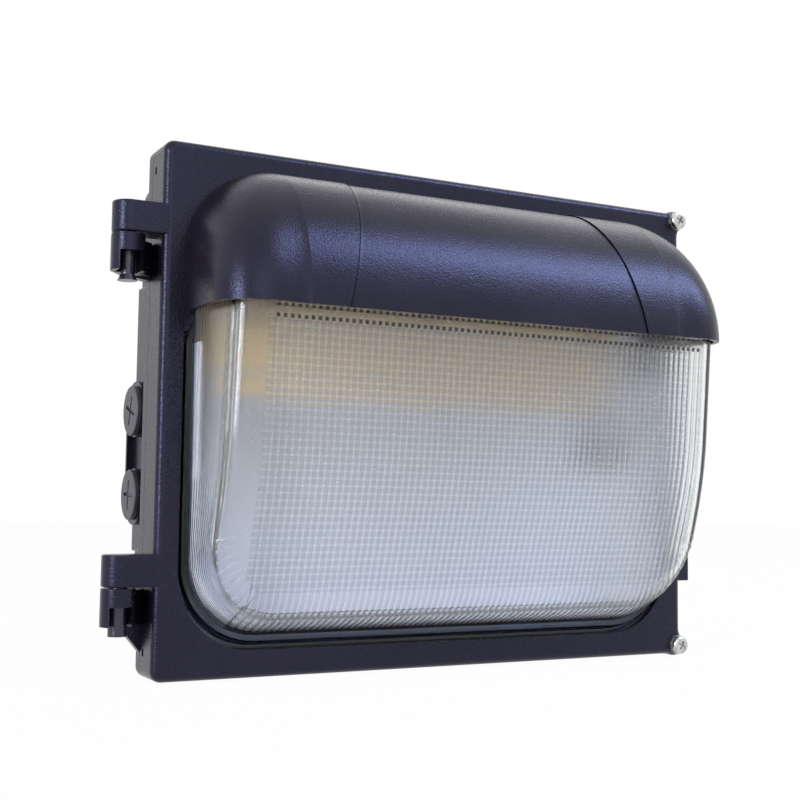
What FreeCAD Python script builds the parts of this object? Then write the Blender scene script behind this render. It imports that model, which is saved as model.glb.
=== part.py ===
"""Wall pack light with a hinged door, a cast hood and a pressed glass bowl.

Frame, in millimetres: X runs to the right seen from the front, Y into the wall and Z up. The
origin is the centre of the housing's back face, which lies on the wall. Each sub-part is
written to parts/NODE.step.
"""

import FreeCAD, Part
import math
import os

V = FreeCAD.Vector

# ---------------------------------------------------------------- driving dimensions

# Housing: the box on the wall, with a flange that the door closes on
HOUSING_DEPTH = 54.6
FLANGE_REACH_X = 12.15
FLANGE_REACH_Z = 4.5
BODY_CORNER = 9.0
BODY_BACK_ROUND = 1.2
HOUSING_WALL = 3.0
BACK_WALL = 3.4
FLANGE_THICKNESS = 5.6
PAD_PROUD = 2.0
PAD_SETBACK = 1.0
PAD_ROUND = 1.4
PAD_TOP = 63.0
PAD_BOTTOM = -66.0

# Door: a shallow tray, as wide and as high as the flange
DOOR_WIDTH = 292.3
DOOR_HEIGHT = 240.0
DOOR_DEPTH = 18.6
DOOR_CORNER = 5.0
DOOR_FACE = 3.2
DOOR_WALL = 3.2
DOOR_EDGE_ROUND = 3.5
SEAM_GAP = 0.3
ROOT_LAP = 1.0

# Hood: a quarter-ellipse bulge cast with the door, with rounded ends
HOOD_SIDE_INSET = 10.15
HOOD_REACH = 55.0
HOOD_LOWER_Z = 42.5
HOOD_TOP_INSET = 11.2
HOOD_END_ROUND_FRONT = 38.0
HOOD_END_ROUND_PLAN = 20.0
HOOD_WALL = 2.7
HOOD_WEB = 2.4
HOOD_PANEL_SINK = 0.6
HOOD_PANEL_HALF_LOW = 80.0
HOOD_PANEL_HALF_TOP = 65.0
HOOD_FLARE_DROP = 8.0
HOOD_FLARE_REACH = 12.0

# Glass bowl
GLASS_WALL = 4.0
GLASS_DRAFT_SIDE = 4.5
GLASS_DRAFT_TOP = 0.6
GLASS_OVERRUN = 6.0
GLASS_BOTTOM_INSET = 15.2
GLASS_BOTTOM_RISE = 27.0
GLASS_REACH = 50.0
GLASS_CORNER = 33.0
GLASS_TOP_CORNER = 12.0
GLASS_TOP_GAP = 1.2
GLASS_SIDE_GAP = 0.4
GLASS_EDGE_ROUND = 8.0
GLASS_LIP_WIDTH = 2.5
GLASS_LIP_PROUD = 1.0
GLASS_LIP_STOP = 0.5
GLASS_NOTCH_ROUND = 0.5
GLASS_RIM_WIDTH = 6.5
GLASS_RIM_THICKNESS = 4.0
GLASS_KNEE_Z = -26.0
GLASS_KNEE_BACK = 6.5
GLASS_KNEE_EASE = 20.0
GLASS_FOOT_SLOPE = 0.31
GASKET_THICKNESS = 1.6
FIT_GAP = 0.3
CUT_MARGIN = 1.0

# Hinge: a fixed barrel on the housing under each door arm
HINGE_REACH = 13.65
HINGE_SETBACK = 7.6
KNUCKLE_RADIUS = 7.5
ARM_HEIGHT = 14.0
ARM_ROUND = 0.9
UPPER_ARM_INSET = 43.4
LOWER_ARM_INSET = 41.4
HINGE_END_GAP = 0.6
BARREL_HEIGHT = 16.4
BARREL_RING = 7.8
BARREL_SLOT_WIDTH = 10.0
BARREL_SLOT_BACK = 0.8
WEB_SINK = 1.2
WEB_OUTER_SHARE = 0.95
WEB_INNER_SHARE = 0.4
WEB_FRONT_SHARE = 0.35
WEB_CROOK_SHARE = 0.7
WEB_CROOK_GAP = 0.5
PIN_RADIUS_UPPER = 3.2
PIN_RADIUS_LOWER = 4.0
PIN_RUNNING_GAP = 0.08
PIN_OVERHANG = 4.2
PIN_HEAD_RADIUS = 4.4
PIN_HEAD_HEIGHT = 2.6
PIN_PRESS_DEPTH = 11.0
GUSSET_DROP_UPPER = 1.5
GUSSET_DROP_LOWER = 14.0

# Lift tab at the door's lower right
TAB_REACH = 7.7
TAB_INSET = 38.7
TAB_HEIGHT = 14.0
TAB_THICKNESS = 10.0
TAB_SETBACK = 2.0
TAB_ROUND = 1.4

# Captive door screws
SCREW_INSET_X = 2.75
SCREW_INSET_Z = 4.8
EAR_RADIUS = 6.0
EAR_WAIST = 8.0
EAR_LAND_RADIUS = 5.3
SCREW_RADIUS = 2.4
SCREW_HEAD_RADIUS = 4.7
SCREW_HEAD_HEIGHT = 2.5
SCREW_HOLE_GAP = 0.35
SCREW_BITE = 7.6
SCREW_TRAVEL = 8.0
FLAT_WASHER_RADIUS = 5.0
FLAT_WASHER_THICKNESS = 0.8
SPRING_WASHER_RADIUS = 4.1
SPRING_WASHER_THICKNESS = 0.9
RETAINER_RADIUS = 3.7
RETAINER_THICKNESS = 0.9
RECESS_RADIUS = 4.3
BOSS_DEPTH = 10.5
BOSS_INSET = 1.5
HEAD_ROUND_SHARE = 0.6
HEAD_CHAMFER_SHARE = 0.35

# Conduit entries on the housing's left side
PLUG_SETBACK = 24.5
PLUG_UPPER_Z = 0.8
PLUG_PITCH = 39.6
PLUG_HEAD_RADIUS = 11.8
PLUG_HEAD_THICKNESS = 1.8
PLUG_SHANK_RADIUS = 10.2
PLUG_SHANK_LENGTH = 9.0
PLUG_SHANK_GAP = 0.3
PLUG_SLOT_WIDTH = 1.6
PLUG_SLOT_LENGTH = 14.0
PLUG_SLOT_DEPTH = 1.0
PLUG_RECESS_GAP = 0.6
PLUG_HEAD_CHAMFER = 0.4
PLUG_UPPER_TURN = 18.0
PLUG_LOWER_TURN = 4.0
PLUG_PAD_RADIUS = 14.0
PLUG_PAD_PROUD = 8.6
SEAL_THICKNESS = 0.6
SEAL_INSET = 0.3
SEAL_BORE_GAP = 0.1
POCKET_DEPTH = 3.0
POCKET_RIM = 1.6
POCKET_END_SHARE = 0.6

# Back wall: wire entry and wall fixing holes
ENTRY_RADIUS = 11.0
ENTRY_Z = 45.0
FIX_HOLE_RADIUS = 3.4
FIX_SPACING_X = 200.0
FIX_SPACING_Z = 150.0

# Light engine
TRAY_THICKNESS = 1.0
TRAY_SETBACK = 5.0
TRAY_GAP = 1.5
TRAY_DEPTH = 9.0
TRAY_SLOPE = 6.0
TRAY_CORNER = 6.0
POST_RADIUS = 5.0
POST_INSET_X = 22.0
POST_INSET_Z = 22.0
POST_SPIGOT_RADIUS = 2.5
POST_SPIGOT_LENGTH = 2.0
HEX_FLAT_SHARE = math.sqrt(0.75)
TRAY_SCREW_RADIUS = 2.0
TRAY_SCREW_HEAD = 4.0
TRAY_SCREW_HEAD_HEIGHT = 2.4
TRAY_SCREW_BITE = 8.0
BOARD_MARGIN = 18.0
BOARD_HEIGHT = 52.0
BOARD_THICKNESS = 1.6
BOARD_CENTRE_Z = 26.0
PAD_SHEET = 0.5
STRIP_COUNT = 3
STRIP_WIDTH = 8.0
STRIP_MARGIN = 12.0
STRIP_HEIGHT = 1.4
STRIP_PITCH = 13.0
BOARD_SCREW_RADIUS = 1.5
BOARD_SCREW_HEAD = 3.0
BOARD_SCREW_HEAD_HEIGHT = 1.8
BOARD_SCREW_INSET = 16.0
BOARD_SCREW_EDGE = 4.0
BOARD_SCREW_TIP = 1.5
DRIVER_MARGIN = 72.0
DRIVER_HEIGHT = 58.0
DRIVER_DEPTH = 27.0
DRIVER_CENTRE_X = 14.0
DRIVER_CENTRE_Z = -48.0
DRIVER_EAR = 10.0
DRIVER_EAR_THICKNESS = 3.0
DRIVER_PAD_HEIGHT = 2.0
DRIVER_SCREW_RADIUS = 1.9
DRIVER_SCREW_HEAD = 3.8
DRIVER_SCREW_HEAD_HEIGHT = 2.2
TERMINAL_WIDTH = 30.0
TERMINAL_HEIGHT = 16.0
TERMINAL_DEPTH = 14.0
TERMINAL_INSET = 28.0
TERMINAL_Z = -48.0
TERMINAL_POLE_COUNT = 3
TERMINAL_HOLE_SHARE = 0.45
LEAD_RADIUS = 1.1
LEAD_BEND = 3.5
LEAD_SPACING = 6.0
LEAD_DEPTH = 22.0
LEAD_END_Z = 6.0
LEAD_LOOP = 5.0
LEAD_RISE = 9.0
LEAD_ENTRY = 3.0
GROMMET_RADIUS = 8.0
GROMMET_WAIST = 6.8
GROMMET_LIP = 1.4
GROMMET_INSET = 4.0
GROMMET_Z = -14.0
GROUND_SCREW_Z = -20.0
GROUND_SCREW_RADIUS = 2.4
GROUND_SCREW_HEAD = 4.4
GROUND_SCREW_HEAD_HEIGHT = 2.6
GROUND_BOSS_HEIGHT = 3.0
CLIP_COUNT = 2
CLIP_ROUND = 2.0
CLIP_HOLE_GAP = 0.2
CLIP_TAIL = 2.4
CLIP_STANDOFF = 2.5
CLIP_BOSS_WALL = 2.0
CLIP_SCREW_FLOOR = 0.4
CLIP_WIDTH = 12.0
CLIP_LAP = 4.5
CLIP_LAND = 10.5
THREAD_GAP = 0.08
SCREW_SKIN = 1.4
CLIP_THICKNESS = 1.2
CLIP_SCREW_RADIUS = 1.8
CLIP_SCREW_HEAD = 3.4
CLIP_SCREW_HEAD_HEIGHT = 2.0
DOOR_SEAL_WIDTH = 3.6
DOOR_SEAL_HEIGHT = 4.5
DOOR_SEAL_GAP_X = 1.0
DOOR_SEAL_GAP_Z = 0.6
FLANGE_LIP_X = 2.0
FLANGE_LIP_Z = 4.0
WEEP_WIDTH = 2.2
WEEP_HEIGHT = 3.4
WEEP_INSET = 12.0
WEEP_SETBACK = 4.4
WINDOW_CORNER = 4.0

# ---------------------------------------------------------------- derived places

BODY_WIDTH = DOOR_WIDTH - 2 * FLANGE_REACH_X
BODY_HEIGHT = DOOR_HEIGHT - 2 * FLANGE_REACH_Z
HOOD_HALF_WIDTH = DOOR_WIDTH / 2 - HOOD_SIDE_INSET
HOOD_TOP_Z = DOOR_HEIGHT / 2 - HOOD_TOP_INSET
GLASS_BOTTOM_Z = GLASS_BOTTOM_INSET - DOOR_HEIGHT / 2
HINGE_X = -DOOR_WIDTH / 2 - HINGE_REACH
UPPER_ARM_BOTTOM = DOOR_HEIGHT / 2 - UPPER_ARM_INSET
LOWER_ARM_BOTTOM = LOWER_ARM_INSET - DOOR_HEIGHT / 2
TAB_BOTTOM = TAB_INSET - DOOR_HEIGHT / 2
WEEP_Z = DOOR_HEIGHT / 2 - WEEP_INSET
DOOR_BACK_Y = -HOUSING_DEPTH - SEAM_GAP
DOOR_FRONT_Y = DOOR_BACK_Y - DOOR_DEPTH
PLATE_BACK_Y = DOOR_FRONT_Y + DOOR_FACE
FLANGE_BACK_Y = -HOUSING_DEPTH + FLANGE_THICKNESS
HINGE_Y = DOOR_FRONT_Y + HINGE_SETBACK
SCREW_X = DOOR_WIDTH / 2 - SCREW_INSET_X
SCREW_Z = DOOR_HEIGHT / 2 - SCREW_INSET_Z
PLUG_Y = -PLUG_SETBACK
PLUG_LOWER_Z = PLUG_UPPER_Z - PLUG_PITCH
PLUG_FACE_X = -BODY_WIDTH / 2 - PLUG_PAD_PROUD
WEB_LOW_Z = HOOD_LOWER_Z + 12.0
GLASS_TOP_Z = WEB_LOW_Z - GLASS_TOP_GAP
GLASS_HALF_WIDTH = HOOD_HALF_WIDTH - HOOD_WALL - GLASS_SIDE_GAP
GLASS_FRONT_Y = DOOR_FRONT_Y - GLASS_REACH
GLASS_SEAT_Y = PLATE_BACK_Y + GASKET_THICKNESS
GLASS_BACK_Y = GLASS_SEAT_Y + GLASS_RIM_THICKNESS
TRAY_FRONT_Y = -HOUSING_DEPTH + TRAY_SETBACK - TRAY_DEPTH
TRAY_FLOOR_Y = TRAY_FRONT_Y + TRAY_DEPTH
POST_TOP_Y = TRAY_FLOOR_Y + TRAY_THICKNESS
POST_X = BODY_WIDTH / 2 - POST_INSET_X
POST_Z = BODY_HEIGHT / 2 - POST_INSET_Z
OPENING_X = BODY_WIDTH / 2 - HOUSING_WALL - FLANGE_LIP_X
OPENING_Z = BODY_HEIGHT / 2 - HOUSING_WALL - FLANGE_LIP_Z
TRAY_X = OPENING_X - TRAY_GAP
TRAY_Z = OPENING_Z - TRAY_GAP
BOARD_WIDTH = BODY_WIDTH - 2 * BOARD_MARGIN
STRIP_LENGTH = BOARD_WIDTH - 2 * STRIP_MARGIN
BOARD_SCREW_SPACING = BOARD_WIDTH / 2 - BOARD_SCREW_INSET
DRIVER_WIDTH = BODY_WIDTH - 2 * DRIVER_MARGIN
TERMINAL_X = TERMINAL_INSET - POST_X
GROMMET_X = POST_X - GROMMET_INSET
BOARD_BACK_Y = TRAY_FLOOR_Y - PAD_SHEET
BOARD_FRONT_Y = BOARD_BACK_Y - BOARD_THICKNESS
DRIVER_BACK_Y = -BACK_WALL - DRIVER_PAD_HEIGHT


# ---------------------------------------------------------------- helpers

def box(x0, x1, y0, y1, z0, z1):
    """A box between the given corners."""
    return Part.makeBox(x1 - x0, y1 - y0, z1 - z0, V(x0, y0, z0))


def rod(radius, y0, y1, x, z):
    """A cylinder along Y from y0 to y1 about the line through x and z."""
    return Part.makeCylinder(radius, y1 - y0, V(x, y0, z), V(0, 1, 0))


def outline(half_width, z_low, z_high, r_low, r_high, y):
    """A rounded rectangle in the plane at y, as a closed wire."""
    quarter = math.pi / 2
    corners = ((half_width - r_high, z_high - r_high, r_high), (-half_width + r_high, z_high - r_high, r_high),
               (-half_width + r_low, z_low + r_low, r_low), (half_width - r_low, z_low + r_low, r_low))
    arcs = []
    for i, (x, z, r) in enumerate(corners):
        turns = (i * quarter, (i + 0.5) * quarter, (i + 1) * quarter)
        p = [V(x + r * math.cos(turn), y, z + r * math.sin(turn)) for turn in turns]
        arcs.append((Part.Arc(p[0], p[1], p[2]).toShape(), p[0], p[2]))
    edges = []
    for i, (arc, start, end) in enumerate(arcs):
        edges.append(arc)
        edges.append(Part.LineSegment(end, arcs[(i + 1) % 4][1]).toShape())
    return Part.Wire(edges)


def slab(half_width, z_low, z_high, r_low, r_high, y0, y1):
    """A rounded rectangle carried along Y from y0 to y1."""
    return Part.Face(outline(half_width, z_low, z_high, r_low, r_high, y0)).extrude(V(0, y1 - y0, 0))


def polygon_prism(points, direction):
    """A closed polygon of points carried along a direction."""
    return Part.Face(Part.makePolygon(points + [points[0]])).extrude(direction)


def edges_where(shape, test):
    """The edges of a shape whose centre passes a test."""
    return [e for e in shape.Edges if test(e)]


def save(shape, name):
    """Write one sub-part, after a check that every solid in it is sound."""
    shape = shape.removeSplitter() if shape.ShapeType == "Solid" else shape
    for solid in shape.Solids:
        if not solid.isValid() or solid.Volume <= 0:
            raise ValueError(name + " has a solid that is not sound")
    shape.exportStep("parts/" + name + ".step")
    print("%-24s solids %2d volume %10.1f" % (name, len(shape.Solids), sum(s.Volume for s in shape.Solids)))


# ---------------------------------------------------------------- hood

def hood_section(x, inset):
    """The hood's section at x, set in from its outer face: a quarter ellipse closed at the door."""
    half = HOOD_HALF_WIDTH - inset
    front = HOOD_END_ROUND_FRONT - inset
    plan = HOOD_END_ROUND_PLAN - inset
    past_front = max(0.0, abs(x) - (half - front))
    past_plan = max(0.0, abs(x) - (half - plan))
    rise = HOOD_TOP_Z - HOOD_LOWER_Z - inset - front + math.sqrt(max(0.0, front ** 2 - past_front ** 2))
    reach = HOOD_REACH - inset - plan + math.sqrt(max(0.0, plan ** 2 - past_plan ** 2))
    foot = V(x, DOOR_FRONT_Y, HOOD_LOWER_Z)
    major = max(rise, reach)
    minor = min(rise, reach)
    along = V(0, 0, 1) if rise >= reach else V(0, -1, 0)
    across = V(0, -1, 0) if rise >= reach else V(0, 0, 1)
    curve = Part.Ellipse(foot + along * major, foot + across * minor, foot)
    arc = curve.toShape(0, math.pi / 2)
    tip = V(x, DOOR_FRONT_Y - reach, HOOD_LOWER_Z)
    crown = V(x, DOOR_FRONT_Y, HOOD_LOWER_Z + rise)
    return Part.Wire(Part.__sortEdges__([arc, Part.LineSegment(crown, foot).toShape(),
                                         Part.LineSegment(foot, tip).toShape()]))


def hood_form(inset):
    """The hood as a solid, set in from its outer face: a straight middle and two rounded ends."""
    half = HOOD_HALF_WIDTH - inset
    straight = half - (HOOD_END_ROUND_FRONT - inset)
    middle = Part.Face(hood_section(-straight, inset)).extrude(V(2 * straight, 0, 0))
    stations = [straight + (half - straight) * math.sin(math.radians(a)) for a in (0, 18, 36, 54, 70, 82, 90)]
    end = Part.makeLoft([hood_section(x, inset) for x in stations], True, False)
    return middle.fuse([end, end.mirror(V(0, 0, 0), V(1, 0, 0))])


def hood_panel_cut():
    """What the sunk middle panel takes off the hood, between two slanted lines."""
    span = 2 * HOOD_PANEL_HALF_LOW
    outer = Part.Face(hood_section(-HOOD_PANEL_HALF_LOW, 0)).extrude(V(span, 0, 0))
    inner = Part.Face(hood_section(-HOOD_PANEL_HALF_LOW, HOOD_PANEL_SINK)).extrude(V(span, 0, 0))
    y0 = DOOR_FRONT_Y - HOOD_REACH - 5
    window = polygon_prism([V(-HOOD_PANEL_HALF_LOW, y0, HOOD_LOWER_Z), V(HOOD_PANEL_HALF_LOW, y0, HOOD_LOWER_Z),
                            V(HOOD_PANEL_HALF_TOP, y0, HOOD_TOP_Z), V(-HOOD_PANEL_HALF_TOP, y0, HOOD_TOP_Z)],
                           V(0, HOOD_REACH + 5, 0))
    return outer.cut(inner).common(window)


def hood_flare(side):
    """The small curved foot where the hood's side wall meets the door, on one side."""
    y = DOOR_FRONT_Y
    radius = (HOOD_FLARE_REACH ** 2 + HOOD_FLARE_DROP ** 2) / (2 * HOOD_FLARE_DROP)
    half_turn = math.asin(HOOD_FLARE_REACH / radius) / 2
    low = V(0, y, HOOD_LOWER_Z - HOOD_FLARE_DROP)
    far = V(0, y - HOOD_FLARE_REACH, HOOD_LOWER_Z)
    knee = far + V(0, radius * math.sin(half_turn), radius * (math.cos(half_turn) - 1))
    root = V(0, y, HOOD_LOWER_Z)
    wire = Part.Wire([Part.Arc(low, knee, far).toShape(), Part.LineSegment(far, root).toShape(),
                      Part.LineSegment(root, low).toShape()])
    solid = Part.Face(wire).extrude(V(HOOD_WALL, 0, 0))
    solid.translate(V(HOOD_HALF_WIDTH - HOOD_WALL if side > 0 else -HOOD_HALF_WIDTH, 0, 0))
    return solid


# ---------------------------------------------------------------- door

def arm(z_low):
    """A hinge arm of the door: slot shaped in plan, its front level with the door's face."""
    root_x = -DOOR_WIDTH / 2 + DOOR_EDGE_ROUND + ROOT_LAP
    shape = box(HINGE_X, root_x, HINGE_Y - KNUCKLE_RADIUS, HINGE_Y + KNUCKLE_RADIUS, z_low, z_low + ARM_HEIGHT)
    knuckle = Part.makeCylinder(KNUCKLE_RADIUS, ARM_HEIGHT, V(HINGE_X, HINGE_Y, z_low))
    shape = shape.fuse(knuckle).removeSplitter()
    rims = edges_where(shape, lambda e: e.BoundBox.ZLength < 0.01 and e.CenterOfMass.x < root_x - ROOT_LAP)
    return shape.makeFillet(ARM_ROUND, rims)


def lift_tab():
    """The short lug at the door's lower right, to lift or pull the door by."""
    x1 = DOOR_WIDTH / 2 + TAB_REACH
    y0 = DOOR_FRONT_Y + TAB_SETBACK
    shape = box(DOOR_WIDTH / 2 - DOOR_WALL / 2, x1, y0, y0 + TAB_THICKNESS, TAB_BOTTOM, TAB_BOTTOM + TAB_HEIGHT)
    outer = edges_where(shape, lambda e: e.BoundBox.XMin > x1 - 0.01)
    return shape.makeFillet(TAB_ROUND, outer)


def door_shell():
    """The door's tray with its ears, rounded along the front edge."""
    w, h = DOOR_WIDTH / 2, DOOR_HEIGHT / 2
    shape = slab(w, -h, h, DOOR_CORNER, DOOR_CORNER, DOOR_FRONT_Y, DOOR_BACK_Y)
    for z in (SCREW_Z, -SCREW_Z):
        shape = shape.fuse(rod(EAR_RADIUS, DOOR_FRONT_Y, DOOR_BACK_Y, SCREW_X, z))
    shape = shape.removeSplitter()

    def is_waist(e):
        c = e.CenterOfMass
        off = math.hypot(c.x - SCREW_X, abs(c.z) - SCREW_Z)
        return e.BoundBox.YLength > DOOR_DEPTH - 0.1 and abs(off - EAR_RADIUS) < 0.05

    shape = shape.makeFillet(EAR_WAIST, edges_where(shape, is_waist))
    front = edges_where(shape, lambda e: e.BoundBox.YMax < DOOR_FRONT_Y + 0.01)
    shape = shape.makeFillet(DOOR_EDGE_ROUND, front)
    return shape.fuse([rod(EAR_LAND_RADIUS, DOOR_FRONT_Y, PLATE_BACK_Y, SCREW_X, z) for z in (SCREW_Z, -SCREW_Z)])


def glass_window(extra, y0, y1):
    """The door's opening for the glass, from y0 to y1: wide below the hood and narrow inside it."""
    low = slab(GLASS_HALF_WIDTH + GLASS_LIP_WIDTH + extra, GLASS_BOTTOM_Z - GLASS_LIP_WIDTH - extra,
               HOOD_LOWER_Z - HOOD_FLARE_DROP - FIT_GAP, GLASS_CORNER + GLASS_LIP_WIDTH + extra,
               GLASS_NOTCH_ROUND, y0, y1)
    high = slab(GLASS_HALF_WIDTH + extra, 0.0, GLASS_TOP_Z + extra, 2 * GLASS_NOTCH_ROUND,
                GLASS_TOP_CORNER + extra, y0, y1)
    return low.fuse(high)


def door_frame():
    """The door casting: tray, hood, hinge arms and lift tab in one piece."""
    w, h = DOOR_WIDTH / 2, DOOR_HEIGHT / 2
    shape = door_shell()
    shape = shape.fuse([arm(UPPER_ARM_BOTTOM), arm(LOWER_ARM_BOTTOM), lift_tab()])
    inner = slab(w - DOOR_WALL, -h + DOOR_WALL, h - DOOR_WALL, DOOR_CORNER, DOOR_CORNER, PLATE_BACK_Y,
                 DOOR_BACK_Y + CUT_MARGIN)
    for z in (SCREW_Z, -SCREW_Z):
        inner = inner.cut(rod(EAR_RADIUS, DOOR_FRONT_Y, DOOR_BACK_Y + CUT_MARGIN, SCREW_X, z))
    shape = shape.cut(inner)
    outer_hood = hood_form(0).cut(hood_panel_cut())
    shape = shape.fuse([outer_hood, hood_flare(1), hood_flare(-1)])
    hollow = hood_form(HOOD_WALL)
    drop = box(-w, w, DOOR_FRONT_Y - HOOD_REACH, PLATE_BACK_Y + 1, HOOD_LOWER_Z - 20, WEB_LOW_Z)
    below_web = hollow.common(drop)
    above_web = hollow.common(box(-w, w, DOOR_FRONT_Y - HOOD_REACH, DOOR_BACK_Y, WEB_LOW_Z + HOOD_WEB, h))
    window_low = GLASS_TOP_Z + GLASS_RIM_WIDTH + CLIP_LAND
    back_window = slab(HOOD_HALF_WIDTH - HOOD_END_ROUND_FRONT, window_low, HOOD_TOP_Z - HOOD_WALL - 1.0,
                       WINDOW_CORNER, WINDOW_CORNER, DOOR_FRONT_Y - 1.0, PLATE_BACK_Y + 1)
    shape = shape.cut([below_web, above_web, back_window, glass_window(FIT_GAP, DOOR_FRONT_Y - 0.01, PLATE_BACK_Y + 1)])
    for z in (SCREW_Z, -SCREW_Z):
        shape = shape.cut(rod(SCREW_RADIUS + SCREW_HOLE_GAP, DOOR_FRONT_Y - 1, DOOR_BACK_Y + 1, SCREW_X, z))
        depth = SCREW_TRAVEL + RETAINER_THICKNESS + 2 * FIT_GAP
        shape = shape.cut(rod(RECESS_RADIUS, DOOR_BACK_Y - depth, DOOR_BACK_Y + 1, SCREW_X, z))
    for z in (UPPER_ARM_BOTTOM, LOWER_ARM_BOTTOM):
        radius = PIN_RADIUS_UPPER if z == UPPER_ARM_BOTTOM else PIN_RADIUS_LOWER
        shape = shape.cut(Part.makeCylinder(radius, PIN_PRESS_DEPTH, V(HINGE_X, HINGE_Y, z)))
    for z in (WEEP_Z, -WEEP_Z):
        y = DOOR_BACK_Y - WEEP_SETBACK
        shape = shape.cut(box(-w - 1, -w + DOOR_WALL + 1, y - WEEP_WIDTH / 2, y + WEEP_WIDTH / 2,
                              z - WEEP_HEIGHT / 2, z + WEEP_HEIGHT / 2))
    for x, z, _ in clip_places():
        shape = shape.fuse(rod(CLIP_SCREW_RADIUS + CLIP_BOSS_WALL, PLATE_BACK_Y - 0.1, GLASS_BACK_Y, x, z))
        shape = shape.cut(rod(CLIP_SCREW_RADIUS, PLATE_BACK_Y, GLASS_BACK_Y + 1, x, z))
    return shape


def pin(z_arm, radius, headed):
    """A hinge pin, pressed up into an arm; the upper one ends in a flared head."""
    z_top = z_arm + PIN_PRESS_DEPTH
    z_low = z_arm - HINGE_END_GAP - BARREL_HEIGHT - PIN_OVERHANG
    shape = Part.makeCylinder(radius, z_top - z_low, V(HINGE_X, HINGE_Y, z_low))
    if headed:
        head = Part.makeCone(PIN_HEAD_RADIUS, radius, PIN_HEAD_HEIGHT, V(HINGE_X, HINGE_Y, z_low))
        shape = shape.fuse(head).removeSplitter()
    return shape


# ---------------------------------------------------------------- glass

def glass_front_cut(inset):
    """What lies in front of the bowl's face: two sloped planes with a smooth knee between them."""
    face_y = GLASS_FRONT_Y + inset
    margin = 10.0
    z_top = GLASS_TOP_Z + margin
    z_low = GLASS_BOTTOM_Z - margin
    lean = GLASS_KNEE_BACK / (GLASS_TOP_Z - GLASS_KNEE_Z)
    top = V(0, face_y - lean * margin, z_top)
    knee = V(0, face_y + GLASS_KNEE_BACK, GLASS_KNEE_Z)
    end = V(0, knee.y + GLASS_FOOT_SLOPE * (GLASS_KNEE_Z - z_low), z_low)
    up = (top - knee).normalize()
    down = (end - knee).normalize()
    half_turn = up.getAngle(down * -1) / 2
    radius = GLASS_KNEE_EASE / math.tan(half_turn)
    start, stop = knee + up * GLASS_KNEE_EASE, knee + down * GLASS_KNEE_EASE
    middle = knee + (up + down).normalize() * (radius / math.cos(half_turn) - radius)
    away_y = face_y - 3 * margin
    low_away, high_away = V(0, away_y, z_low), V(0, away_y, z_top)
    edges = [Part.LineSegment(top, start).toShape(), Part.Arc(start, middle, stop).toShape()]
    corners = [stop, end, low_away, high_away, top]
    edges += [Part.LineSegment(p, q).toShape() for p, q in zip(corners, corners[1:])]
    solid = Part.Face(Part.Wire(edges)).extrude(V(2 * DOOR_WIDTH, 0, 0))
    solid.translate(V(-DOOR_WIDTH, 0, 0))
    return solid


def glass_form(inset, y_root, radius):
    """The bowl as a solid, set in from its outer face, with the front's edges rounded."""
    half, low, high = GLASS_HALF_WIDTH - inset, GLASS_BOTTOM_Z + inset, GLASS_TOP_Z - inset
    corner, top_corner = GLASS_CORNER - inset, GLASS_TOP_CORNER - inset
    y_far = GLASS_FRONT_Y - GLASS_OVERRUN
    root = outline(half, low, high, corner, top_corner, y_root)
    far = outline(half - GLASS_DRAFT_SIDE, low + GLASS_BOTTOM_RISE, high - GLASS_DRAFT_TOP, corner, top_corner, y_far)
    shape = Part.makeLoft([root, far], True, True).cut(glass_front_cut(inset))
    front = []
    for face in shape.Faces:
        u0, u1, v0, v1 = face.ParameterRange
        if face.normalAt((u0 + u1) / 2, (v0 + v1) / 2).y < -0.8:
            front.append(face)
    edges = [e for face in front for e in face.Edges]
    rim = [e for e in edges if sum(1 for other in edges if other.isSame(e)) == 1]
    return shape.makeFillet(radius, rim)


def glass_refractor():
    """The pressed glass bowl with its lip in the door's opening and its rim behind the plate."""
    outer = glass_form(0, GLASS_BACK_Y, GLASS_EDGE_ROUND)
    inner = glass_form(GLASS_WALL, GLASS_BACK_Y + 1, GLASS_EDGE_ROUND - GLASS_WALL)
    rim = slab(GLASS_HALF_WIDTH + GLASS_RIM_WIDTH, GLASS_BOTTOM_Z - GLASS_RIM_WIDTH, GLASS_TOP_Z + GLASS_RIM_WIDTH,
               GLASS_CORNER + GLASS_RIM_WIDTH, GLASS_TOP_CORNER + GLASS_RIM_WIDTH, GLASS_SEAT_Y, GLASS_BACK_Y)
    lip = glass_window(0.0, DOOR_FRONT_Y - GLASS_LIP_PROUD, GLASS_SEAT_Y + 0.1)
    inside_hood = box(-DOOR_WIDTH, DOOR_WIDTH, DOOR_FRONT_Y - GLASS_LIP_PROUD - CUT_MARGIN,
                      DOOR_FRONT_Y + GLASS_LIP_STOP, HOOD_LOWER_Z - HOOD_FLARE_DROP - CUT_MARGIN, DOOR_HEIGHT)
    lip = lip.cut(inside_hood)
    return outer.fuse([rim, lip]).cut(inner)


def glass_gasket():
    """The flat gasket between the door's plate and the glass rim."""
    outer = slab(GLASS_HALF_WIDTH + GLASS_RIM_WIDTH, GLASS_BOTTOM_Z - GLASS_RIM_WIDTH, GLASS_TOP_Z + GLASS_RIM_WIDTH,
                 GLASS_CORNER + GLASS_RIM_WIDTH, GLASS_TOP_CORNER + GLASS_RIM_WIDTH, PLATE_BACK_Y, GLASS_SEAT_Y)
    edge = GLASS_LIP_WIDTH + FIT_GAP
    inner = slab(GLASS_HALF_WIDTH + edge, GLASS_BOTTOM_Z - edge, GLASS_TOP_Z + edge,
                 GLASS_CORNER + edge, GLASS_TOP_CORNER + edge, PLATE_BACK_Y - 1, GLASS_SEAT_Y + 1)
    return outer.cut(inner)


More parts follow.
